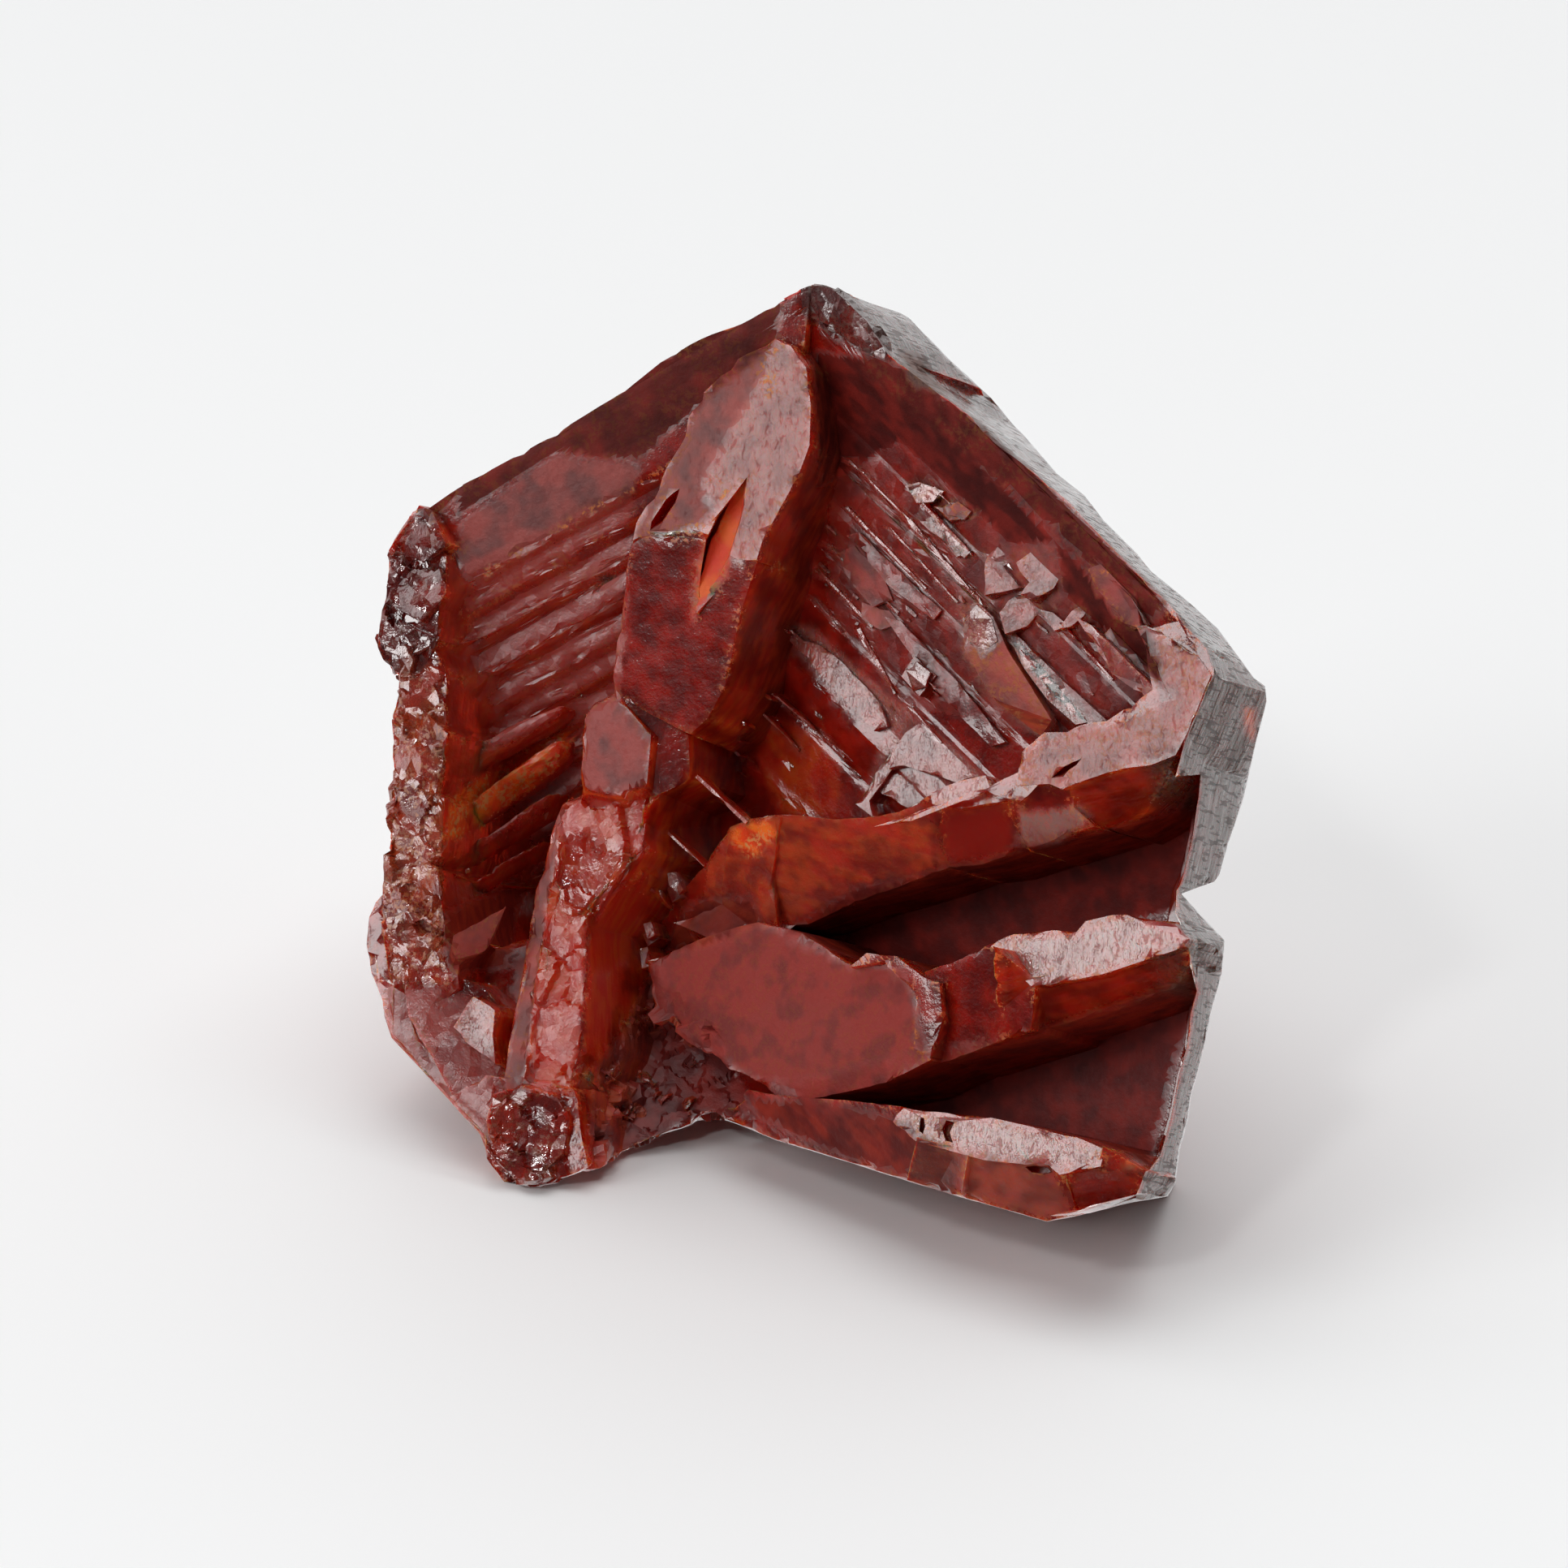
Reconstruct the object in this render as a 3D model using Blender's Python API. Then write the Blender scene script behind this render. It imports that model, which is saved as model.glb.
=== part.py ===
"""Skeletal vanadinite crystal, modelled as one solid.

The crystal is built upright, with its long axis along local Z and its open basal face at
local height 0, and is then turned into the attitude in which it stands. Outlines are drawn as
the eye sees them from in front. Each outline is carried along the sight lines onto the plane
in which its face lies, so the same outline can be put at any height along the crystal axis.
"""

import math

import bmesh
import bpy
from mathutils import Matrix, Vector

MM = 0.001

# Attitude of the crystal and place of the eye.
VIEW_ELEVATION = math.radians(24.0)
AXIS_TURN = math.radians(28.0)
AXIS_RISE = math.radians(32.5)
EYE_DISTANCE = 332.0 * MM
EYE_RIGHT = -0.85 * MM
EYE_UP = -0.15 * MM

# Place of the outline centre once the crystal stands on its cut face at height 0.
STAND_X = -0.09 * MM
STAND_Y = -4.92 * MM
CENTRE_HEIGHT = 13.15 * MM

# The outlines are in units of 0.025 mm, x to the right and y down, about this centre.
OUTLINE_UNIT = 0.025 * MM
CENTRE_X = 1000.0
CENTRE_Y = 960.0

# Levels along the crystal axis, in millimetres below the rim.
OPEN_FLOOR = -9.2
BACK_LEVEL = -10.5
ABOVE = 1.5

# Ledges of the right-hand hopper: distance in from the rim and depth, in millimetres.
RIGHT_LEDGES = (
    (3.1, 1.60, 0.12),
    (4.2, 2.05, 0.16),
    (5.35, 2.50, 0.22),
    (6.65, 3.00, 0.20),
    (8.3, 3.65, 0.14),
    (9.7, 4.15, 0.70),
    (11.6, 4.85, 0.20),
    (13.6, 5.55, 0.30),
    (15.6, 6.30, 0.15),
    (17.7, 7.10, 0.15),
    (19.6, 7.80, 0.40),
)
# Ledges of the left-hand hopper: distance in from the rim and depth of the tread, and the
# height of the riser below it.
LEFT_LEDGES = (
    (2.65, 0.95, 0.30),
    (3.35, 1.42, 0.40),
    (4.10, 1.95, 0.42),
    (5.05, 2.52, 0.50),
    (5.85, 3.12, 0.42),
    (6.55, 3.66, 0.45),
    (7.20, 4.22, 0.42),
    (7.95, 4.76, 0.48),
    (8.75, 5.36, 0.45),
    (9.55, 5.94, 0.45),
    (10.40, 6.52, 0.45),
    (11.30, 7.10, 0.45),
)

# Outer outline of the crystal at the rim, and the outline of the whole as the eye sees it.
RIM = (
    (513, 632), (560, 600), (640, 556), (767, 480), (813, 446), (863, 416), (913, 396), (966, 366),
    (1000, 347), (1026, 354), (1068, 396), (1091, 434), (1145, 476), (1198, 514), (1225, 545),
    (1267, 576), (1317, 618), (1378, 683), (1436, 740), (1486, 798), (1496, 830), (1463, 906),
    (1448, 958), (1437, 1020), (1424, 1078), (1438, 1110), (1462, 1157), (1452, 1218), (1443, 1284),
    (1430, 1330), (1420, 1376), (1408, 1424), (1394, 1470), (1330, 1492), (1290, 1498),
    (1179, 1462), (1072, 1428), (957, 1385), (880, 1352), (850, 1362), (756, 1402), (700, 1432),
    (668, 1452), (645, 1460), (609, 1438), (591, 1398), (553, 1356), (515, 1314), (484, 1279),
    (466, 1225), (460, 1160), (474, 1092), (484, 1010), (486, 900), (492, 820), (492, 720),
)
SILHOUETTE = (
    (511, 625), (560, 595), (640, 553), (767, 476), (813, 442), (863, 413), (913, 394), (966, 363),
    (1000, 346), (1019, 341), (1068, 350), (1091, 363), (1168, 442), (1221, 491), (1244, 518),
    (1302, 583), (1336, 610), (1359, 641), (1401, 683), (1420, 706), (1466, 744), (1500, 775),
    (1545, 835), (1559, 845), (1561, 864), (1547, 918), (1532, 983), (1513, 1040), (1503, 1078),
    (1496, 1088), (1454, 1101), (1509, 1159), (1505, 1200), (1491, 1250), (1478, 1314),
    (1467, 1352), (1464, 1377), (1453, 1416), (1448, 1459), (1439, 1474), (1390, 1482),
    (1332, 1497), (1290, 1505), (1179, 1474), (1072, 1440), (957, 1405), (894, 1379), (882, 1371),
    (865, 1375), (852, 1386), (802, 1402), (756, 1425), (706, 1447), (668, 1457), (645, 1466),
    (626, 1463), (609, 1440), (597, 1413), (591, 1398), (553, 1356), (515, 1314), (482, 1279),
    (473, 1252), (471, 1233), (457, 1199), (451, 1164), (454, 1130), (471, 1092), (480, 1027),
    (485, 980), (483, 940), (482, 889), (490, 847), (490, 832), (473, 817), (463, 786), (471, 752),
    (477, 713), (484, 667),
)
BACK_SCALE = 0.93

# Sectors that are sunk below the rim.
RIB_LINE = (
    (1010, 300, 0.0),
    (975, 440, 0.0),
    (930, 600, 0.0),
    (850, 760, -1.0),
    (790, 900, -2.0),
    (745, 1000, -2.2),
    (715, 1120, -2.0),
    (680, 1260, -1.5),
)
RIGHT_SECTOR_END = (
    (820, 1150, -5.0),
    (930, 1085, -3.0),
    (1060, 1045, -1.8),
    (1200, 985, -0.8),
    (1300, 935, -0.2),
    (1420, 850, 0.0),
    (1404, 775, 0.0),
    (1480, 760, 0.0),
    (1600, 830, 0.0),
    (1400, 300, 0.0),
)
LEFT_SECTOR_END = (
    (640, 1330, -1.0),
    (596, 1215, -0.8),
    (548, 1195, -0.7),
    (530, 1100, -0.6),
    (522, 980, -0.6),
    (530, 900, -0.6),
    (516, 830, -0.6),
    (540, 740, -0.4),
    (530, 660, -0.4),
    (400, 620, 0.0),
    (700, 300, 0.0),
)
RIGHT_RIM_LINE = ((1068, 396), (1486, 798))
LEFT_RIM_LINE = ((511, 630), (966, 366))

RECESS_UPPER = (
    (960, 1150),
    (1053, 1095),
    (1264, 1030),
    (1375, 1000),
    (1418, 962),
    (1448, 958),
    (1480, 955),
    (1471, 1021),
    (1459, 1075),
    (1450, 1096),
    (1442, 1140),
    (1240, 1180),
    (1150, 1215),
    (1050, 1210),
)
RECESS_LOWER = (
    (960, 1340),
    (1143, 1270),
    (1298, 1235),
    (1440, 1185),
    (1466, 1187),
    (1475, 1221),
    (1467, 1250),
    (1463, 1288),
    (1453, 1326),
    (1443, 1377),
    (1430, 1423),
    (1414, 1446),
    (1380, 1450),
    (1300, 1430),
    (1150, 1400),
    (1015, 1372),
)
NOTCH = ((1454, 1101), (1500, 1086), (1680, 1010), (1680, 1240), (1512, 1160))
LOWER_MIDDLE = (
    (640, 1345),
    (716, 1200),
    (790, 1120),
    (860, 1150),
    (960, 1200),
    (1000, 1380),
    (957, 1412),
    (894, 1385),
    (882, 1377),
    (852, 1392),
    (756, 1432),
    (706, 1456),
    (700, 1520),
    (600, 1520),
)

CLEAR_RIGHT = (
    (770, 1140), (880, 1075), (912, 1035), (1026, 1026), (1122, 1012), (1214, 976), (1258, 990),
    (1290, 955), (1340, 940), (1400, 928), (1440, 900), (1464, 893), (1448, 958), (1480, 955),
    (1471, 1021), (1459, 1075), (1450, 1096), (1448, 1125), (1465, 1157), (1466, 1190),
    (1475, 1221), (1467, 1250), (1463, 1288), (1453, 1326), (1443, 1377), (1430, 1423),
    (1410, 1450), (1400, 1472), (1328, 1490), (1290, 1499), (1179, 1469), (1072, 1435),
    (957, 1401), (880, 1360), (800, 1290),
)
CLEAR_LEFT = (
    (486, 1215), (545, 1190), (600, 1175), (650, 1060), (680, 960), (740, 930), (830, 960),
    (840, 1060), (815, 1150), (730, 1340), (704, 1440), (668, 1453), (645, 1461), (613, 1436),
    (598, 1398), (553, 1350), (515, 1309), (484, 1273),
)
CLEAR_EDGE = (
    (480, 835), (530, 830), (545, 900), (540, 980), (548, 1100), (560, 1200), (500, 1225),
    (468, 1200), (455, 1150), (470, 1085), (480, 1010), (478, 900),
)


def clear_scene():
    for obj in list(bpy.data.objects):
        bpy.data.objects.remove(obj, do_unlink=True)
    for group in list(bpy.data.collections):
        bpy.data.collections.remove(group)


def new_collection(name):
    group = bpy.data.collections.new(name)
    bpy.context.scene.collection.children.link(group)
    return group


def frame_axes():
    """Local X, Y and Z of the upright crystal, in the attitude in which it stands."""
    level = Vector((0.0, -math.cos(AXIS_RISE), math.sin(AXIS_RISE)))
    side = Vector((1.0, 0.0, 0.0))
    axis_x = math.cos(AXIS_TURN) * side + math.sin(AXIS_TURN) * level
    axis_y = Vector((0.0, math.sin(AXIS_RISE), math.cos(AXIS_RISE)))
    axis_z = math.cos(AXIS_TURN) * level - math.sin(AXIS_TURN) * side
    return axis_x, axis_y, axis_z


AXES = frame_axes()
RIGHT = Vector((1.0, 0.0, 0.0))
UP = Vector((0.0, math.sin(VIEW_ELEVATION), math.cos(VIEW_ELEVATION)))
BACK = Vector((0.0, -math.cos(VIEW_ELEVATION), math.sin(VIEW_ELEVATION)))
EYE = RIGHT * EYE_RIGHT + UP * EYE_UP + BACK * EYE_DISTANCE


def to_local(point):
    return Vector((point.dot(AXES[0]), point.dot(AXES[1]), point.dot(AXES[2])))


LOCAL_EYE = to_local(EYE)


def on_plane(x, y, point, normal):
    """The place on a plane that the eye sees at outline position x, y."""
    across = RIGHT * ((x - CENTRE_X) * OUTLINE_UNIT)
    along = UP * ((CENTRE_Y - y) * OUTLINE_UNIT)
    ray = to_local(across + along) - LOCAL_EYE
    share = (point - LOCAL_EYE).dot(normal) / ray.dot(normal)
    return LOCAL_EYE + ray * share


def at_level(x, y, level):
    return on_plane(x, y, Vector((0.0, 0.0, level * MM)), Vector((0.0, 0.0, 1.0)))


def plane_through(anchors):
    """Point and normal of the plane through three (x, y, level) anchors."""
    a, b, c = [at_level(*anchor) for anchor in anchors]
    normal = (b - a).cross(c - a).normalized()
    if normal.z < 0:
        normal.negate()
    return a, normal


def signed_area(points):
    total = 0.0
    for here, after in zip(points, points[1:] + points[:1]):
        total += here.x * after.y - after.x * here.y
    return total / 2


def grown(points, distances):
    """The outline moved outwards, each corner by its own distance."""
    turn = 1.0 if signed_area(points) > 0 else -1.0
    moved = []
    count = len(points)
    for i, here in enumerate(points):
        before = (here - points[i - 1]).to_2d()
        after = (points[(i + 1) % count] - here).to_2d()
        first = Vector((before.y, -before.x)).normalized() * turn
        second = Vector((after.y, -after.x)).normalized() * turn
        middle = first + second
        if middle.length < 0.3:
            middle = first
        middle.normalize()
        reach = min(1.6, 1.0 / max(0.3, middle.dot(first)))
        shift = middle * (distances[i] * reach)
        moved.append(Vector((here.x + shift.x, here.y + shift.y, here.z)))
    return moved


def skin(name, rings, group):
    """A closed body through rings of equal length, from the top ring down."""
    shape = bmesh.new()
    made = [[shape.verts.new(point) for point in ring] for ring in rings]
    shape.faces.new(made[0])
    shape.faces.new(list(reversed(made[-1])))
    for upper, lower in zip(made, made[1:]):
        for i in range(len(upper)):
            j = (i + 1) % len(upper)
            shape.faces.new((upper[j], upper[i], lower[i], lower[j]))
    bmesh.ops.recalc_face_normals(shape, faces=shape.faces)
    bmesh.ops.triangulate(shape, faces=shape.faces)
    mesh = bpy.data.meshes.new(name)
    shape.to_mesh(mesh)
    shape.free()
    obj = bpy.data.objects.new(name, mesh)
    group.objects.link(obj)
    return obj


def block(name, outline, top, foot, group, draft=0.0):
    """A crystal block: an outline on its top plane, with walls down to the foot level."""
    if isinstance(top, (int, float)):
        ring = [at_level(x, y, top) for x, y in outline]
    else:
        point, normal = plane_through(top)
        ring = [on_plane(x, y, point, normal) for x, y in outline]
    # Neighbours never share a wall exactly: each block is larger than the last by a hair.
    order = len(group.objects)
    ring = grown(ring, [(0.004 + 0.0023 * order) * MM] * len(ring))
    ring = [point + Vector((0.0, 0.0, 0.0007 * order * MM)) for point in ring]
    spread = math.tan(math.radians(draft + 0.03 * order))
    lower = grown(ring, [spread * (point.z - foot * MM) for point in ring])
    for point in lower:
        point.z = foot * MM
    return skin(name, [ring, lower], group)


def sight_block(name, outline, top, foot, group, shrink=1.0):
    """A block whose walls follow the sight lines, so that it shows its outline alone."""
    if isinstance(foot, (int, float)):
        lower = [at_level(x, y, foot) for x, y in outline]
    else:
        point, normal = plane_through(foot)
        lower = [on_plane(x, y, point, normal) for x, y in outline]
    middle = sum(lower, Vector()) / len(lower)
    lower = [middle + (point - middle) * shrink for point in lower]
    upper = [at_level(x, y, top) for x, y in outline]
    return skin(name, [upper, lower], group)


def sector(name, outline, group):
    """The prism in which a hopper is sunk, from above the rim to the deepest floor."""
    ring = []
    for x, y, level in outline:
        point = at_level(x, y, level)
        ring.append(Vector((point.x, point.y, ABOVE * MM)))
    lower = [Vector((point.x, point.y, (OPEN_FLOOR - 1.0) * MM)) for point in ring]
    return skin(name, [ring, lower], group)


def staircase(name, rim_line, profile, group):
    """The open space above a flight of ledges that runs along the rim line."""
    start, end = [at_level(x, y, 0.0) for x, y in rim_line]
    along = (end - start).normalized()
    inward = Vector((along.y, -along.x, 0.0))
    if (-start).dot(inward) < 0:
        inward.negate()
    rings = []
    for origin in (start - along * 14 * MM, end + along * 14 * MM):
        rings.append([origin + inward * (u * MM) + Vector((0, 0, z * MM)) for u, z in profile])
    return skin(name, rings, group)


def right_profile():
    """Cross-section above the right-hand ledges: sloping risers with narrow bright treads."""
    points = [(-3.0, 1.8), (-3.0, 1.49)]
    points.append((0.0, 0.0))
    for distance, depth, tread in RIGHT_LEDGES:
        points.append((distance, -depth))
        points.append((distance + tread, -depth - 0.015))
    points.append((22.5, OPEN_FLOOR))
    points.append((22.5, 1.8))
    return points


def left_profile():
    """Cross-section above the left-hand ledges: sloping treads with steep risers."""
    points = [(-3.0, 1.8), (-3.0, 1.75), (0.0, -0.15), (0.55, -0.30)]
    for distance, depth, riser in LEFT_LEDGES:
        points.append((distance, -depth))
        points.append((distance + 0.25, -depth - riser))
    points.append((13.0, OPEN_FLOOR))
    points.append((13.0, 1.8))
    return points


def boolean(body, operation, other=None, group=None):
    """Joins, cuts or limits the body by one object or by a collection of closed blocks."""
    tool = body.modifiers.new(operation.title(), "BOOLEAN")
    tool.operation = operation
    tool.solver = "MANIFOLD"
    if group is not None:
        tool.operand_type = "COLLECTION"
        tool.collection = group
    else:
        tool.object = other
    return tool


def main_body(name, group):
    """The prism in which the hoppers are sunk, narrowing a little towards the back."""
    rim = [at_level(x, y, 0.0) for x, y in RIM]
    middle = sum(rim, Vector()) / len(rim)
    back = [middle + (point - middle) * BACK_SCALE for point in rim]
    for point in back:
        point.z = BACK_LEVEL * MM
    return skin(name, [rim, back], group)


def add_ribs(group):
    """The ribs that stand between the hoppers, with their bright basal faces."""
    foot = OPEN_FLOOR - 0.5
    block(
        "apex_bevel",
        (
            (966, 368), (1001, 350), (1022, 354), (1045, 372), (1072, 404), (1090, 436),
            (1062, 434), (1022, 404), (985, 384),
        ),
        ((1001, 350, -0.10), (1072, 404, -0.12), (1000, 395, -0.55)), foot, group,
    )
    block(
        "rib_top_flat",
        (
            (955, 417), (974, 426), (993, 453), (999, 499), (997, 549), (985, 583), (962, 625),
            (939, 667), (932, 690), (909, 690), (862, 664), (800, 660), (777, 667), (783, 644),
            (810, 602), (821, 576), (844, 537), (848, 514), (867, 484), (909, 442),
        ),
        0.0, foot, group, 2.0,
    )
    block(
        "rib_upper_body",
        (
            (777, 667), (800, 655), (862, 655), (930, 680), (932, 694), (913, 752), (901, 809),
            (894, 843), (872, 885), (850, 905), (800, 880), (750, 850), (756, 778), (764, 721),
        ),
        ((777, 667, -0.12), (932, 690, -0.12), (850, 905, -1.9)), foot, group, 3.0,
    )
    block(
        "rib_middle_tip",
        ((714, 864), (733, 858), (756, 853), (802, 906), (796, 975), (760, 985), (712, 979)),
        ((756, 853, -1.55), (714, 979, -1.9), (800, 975, -2.0)), foot, group, 4.0,
    )
    block(
        "rib_middle_shoulder",
        ((756, 854), (817, 887), (848, 906), (850, 960), (800, 985), (770, 930)),
        ((756, 854, -1.6), (848, 906, -2.5), (796, 975, -2.3)), foot, group, 3.0,
    )
    block(
        "rib_lower_crest",
        (
            (690, 985), (740, 975), (796, 980), (792, 1046), (760, 1090), (722, 1140),
            (722, 1200), (716, 1290), (700, 1345), (640, 1350), (622, 1320), (637, 1226),
            (645, 1180), (655, 1118), (672, 1052),
        ),
        ((690, 985, -2.3), (796, 985, -2.5), (660, 1345, -0.9)), foot, group, 6.0,
    )
    block(
        "rib_lower_edge",
        (
            (683, 1007), (694, 1040), (676, 1120), (664, 1200), (652, 1290), (640, 1345),
            (618, 1345), (626, 1279), (637, 1226), (643, 1180), (649, 1118), (664, 1065),
        ),
        ((683, 1007, -2.0), (643, 1180, -1.3), (640, 1345, -0.6)), foot, group, 2.0,
    )
    block(
        "rib_lower_flank",
        (
            (796, 985), (822, 975), (812, 1020), (806, 1065), (790, 1122), (767, 1199),
            (744, 1252), (718, 1294), (704, 1330), (704, 1250), (716, 1160), (742, 1105),
            (780, 1052),
        ),
        ((780, 1052, -2.5), (716, 1160, -2.0), (806, 1065, -3.7)), foot, group, 2.0,
    )
    block(
        "rib_glint_face",
        ((783, 1050), (790, 1075), (752, 1112), (724, 1145), (716, 1136), (738, 1100)),
        ((783, 1050, -2.2), (716, 1136, -1.75), (752, 1112, -2.35)), foot, group, 2.0,
    )


def add_cross_ribs(group):
    """The three ribs that run from the right-hand rim towards the middle."""
    foot = OPEN_FLOOR - 0.5
    block(
        "corner_flat",
        (
            (1253, 967), (1259, 926), (1287, 903), (1315, 902), (1334, 892), (1385, 888),
            (1414, 871), (1442, 859), (1432, 833), (1418, 808), (1406, 783), (1399, 771),
            (1410, 768), (1475, 807), (1492, 832), (1461, 906), (1448, 930), (1418, 942),
            (1385, 946), (1341, 959), (1309, 972), (1293, 965),
        ),
        0.02, foot, group,
    )
    block(
        "corner_lens",
        (
            (1318, 968), (1385, 946), (1448, 930), (1432, 968), (1413, 1000), (1375, 1023),
            (1345, 1016), (1322, 995),
        ),
        ((1322, 965, -0.15), (1445, 932, -0.15), (1375, 1023, -2.0)), foot, group,
    )
    block(
        "corner_link",
        (
            (1243, 973), (1256, 965), (1309, 972), (1322, 968), (1322, 995), (1348, 1018),
            (1264, 1046), (1244, 1000),
        ),
        ((1257, 972, -0.45), (1322, 968, -0.35), (1264, 1044, -1.7)), foot, group,
    )
    block(
        "rib_two_flat",
        (
            (1145, 977), (1183, 963), (1214, 956), (1243, 973), (1243, 985), (1183, 996),
            (1150, 990),
        ),
        -0.55, foot, group, 1.0,
    )
    block(
        "rib_two_block",
        (
            (1160, 984), (1183, 992), (1237, 981), (1248, 984), (1264, 1046), (1210, 1064),
            (1168, 1068), (1158, 1020),
        ),
        ((1164, 984, -0.6), (1243, 976, -0.6), (1187, 1069, -2.2)), foot, group,
    )
    block(
        "rib_two_crest",
        (
            (900, 1023), (934, 1007), (977, 1005), (1026, 1011), (1084, 1007), (1122, 996),
            (1150, 978), (1170, 990), (1172, 1066), (1130, 1084), (1053, 1111), (996, 1138),
            (940, 1141), (890, 1100),
        ),
        ((934, 1007, -2.3), (1150, 978, -0.9), (1053, 1111, -3.4)), foot, group,
    )
    block(
        "rib_two_end",
        (
            (868, 1067), (900, 1020), (934, 1007), (960, 1008), (950, 1080), (957, 1141),
            (900, 1146), (859, 1160), (812, 1178), (800, 1165), (832, 1110),
        ),
        ((934, 1007, -2.35), (868, 1067, -3.8), (957, 1141, -3.9)), foot, group,
    )
    block(
        "rib_three_flat",
        (
            (1223, 1166), (1237, 1153), (1287, 1147), (1327, 1149), (1338, 1136), (1382, 1126),
            (1397, 1132), (1447, 1136), (1464, 1157), (1459, 1166), (1359, 1199), (1283, 1214),
            (1271, 1214),
        ),
        0.05, foot, group,
    )
    block(
        "rib_three_side",
        (
            (1223, 1168), (1271, 1206), (1359, 1192), (1462, 1158), (1466, 1187), (1451, 1214),
            (1397, 1233), (1298, 1264), (1268, 1270), (1230, 1240),
        ),
        ((1271, 1212, -0.05), (1464, 1160, -0.05), (1298, 1264, -1.7)), foot, group,
    )
    block(
        "rib_three_slope",
        (
            (1141, 1199), (1223, 1164), (1274, 1212), (1269, 1268), (1191, 1298), (1164, 1308),
            (1143, 1300), (1148, 1233),
        ),
        ((1223, 1166, -0.1), (1270, 1214, -0.1), (1155, 1250, -1.4)), foot, group,
    )
    block(
        "rib_three_lens",
        (
            (800, 1185), (859, 1160), (900, 1146), (934, 1138), (988, 1151), (1026, 1176),
            (1049, 1191), (1088, 1180), (1114, 1195), (1141, 1226), (1130, 1275), (1145, 1305),
            (1091, 1333), (1015, 1350), (969, 1355), (923, 1325), (860, 1290), (805, 1240),
        ),
        ((1141, 1226, -1.0), (934, 1138, -2.6), (969, 1355, -2.7)), foot, group,
    )
    block(
        "rib_three_rim",
        (
            (1049, 1191), (1068, 1176), (1104, 1180), (1136, 1205), (1156, 1212), (1160, 1260),
            (1146, 1300), (1128, 1290), (1130, 1250), (1128, 1222), (1100, 1196), (1088, 1184),
        ),
        ((1068, 1176, -1.1), (1150, 1212, -0.75), (1146, 1300, -1.1)), foot, group,
    )
    block(
        "rib_four_flat",
        (
            (1099, 1382), (1114, 1367), (1221, 1379), (1325, 1402), (1359, 1417), (1355, 1436),
            (1306, 1446), (1294, 1436), (1214, 1428), (1187, 1421), (1130, 1405),
        ),
        0.04, foot, group,
    )
    block(
        "rib_four_facet",
        (
            (1130, 1403), (1187, 1419), (1214, 1426), (1294, 1434), (1310, 1440), (1325, 1493),
            (1290, 1503), (1179, 1472), (1120, 1455),
        ),
        ((1187, 1419, 0.0), (1294, 1434, 0.0), (1250, 1494, -1.5)), -4.0, group,
    )
    block(
        "rib_four_corner",
        (
            (1300, 1442), (1355, 1432), (1359, 1415), (1409, 1444), (1399, 1474), (1360, 1486),
            (1325, 1493),
        ),
        ((1302, 1442, -0.1), (1401, 1443, -0.35), (1360, 1486, -1.3)), -4.0, group,
    )
    block(
        "rib_four_root",
        (
            (923, 1345), (960, 1352), (1015, 1356), (1042, 1358), (1107, 1365), (1104, 1385),
            (1135, 1408), (1190, 1425), (1183, 1474), (1130, 1458), (1072, 1440), (1010, 1422),
            (957, 1404), (925, 1390), (896, 1376),
        ),
        ((1114, 1367, -0.1), (1130, 1458, -1.4), (925, 1360, -2.9)), -7.5, group,
    )


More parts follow.
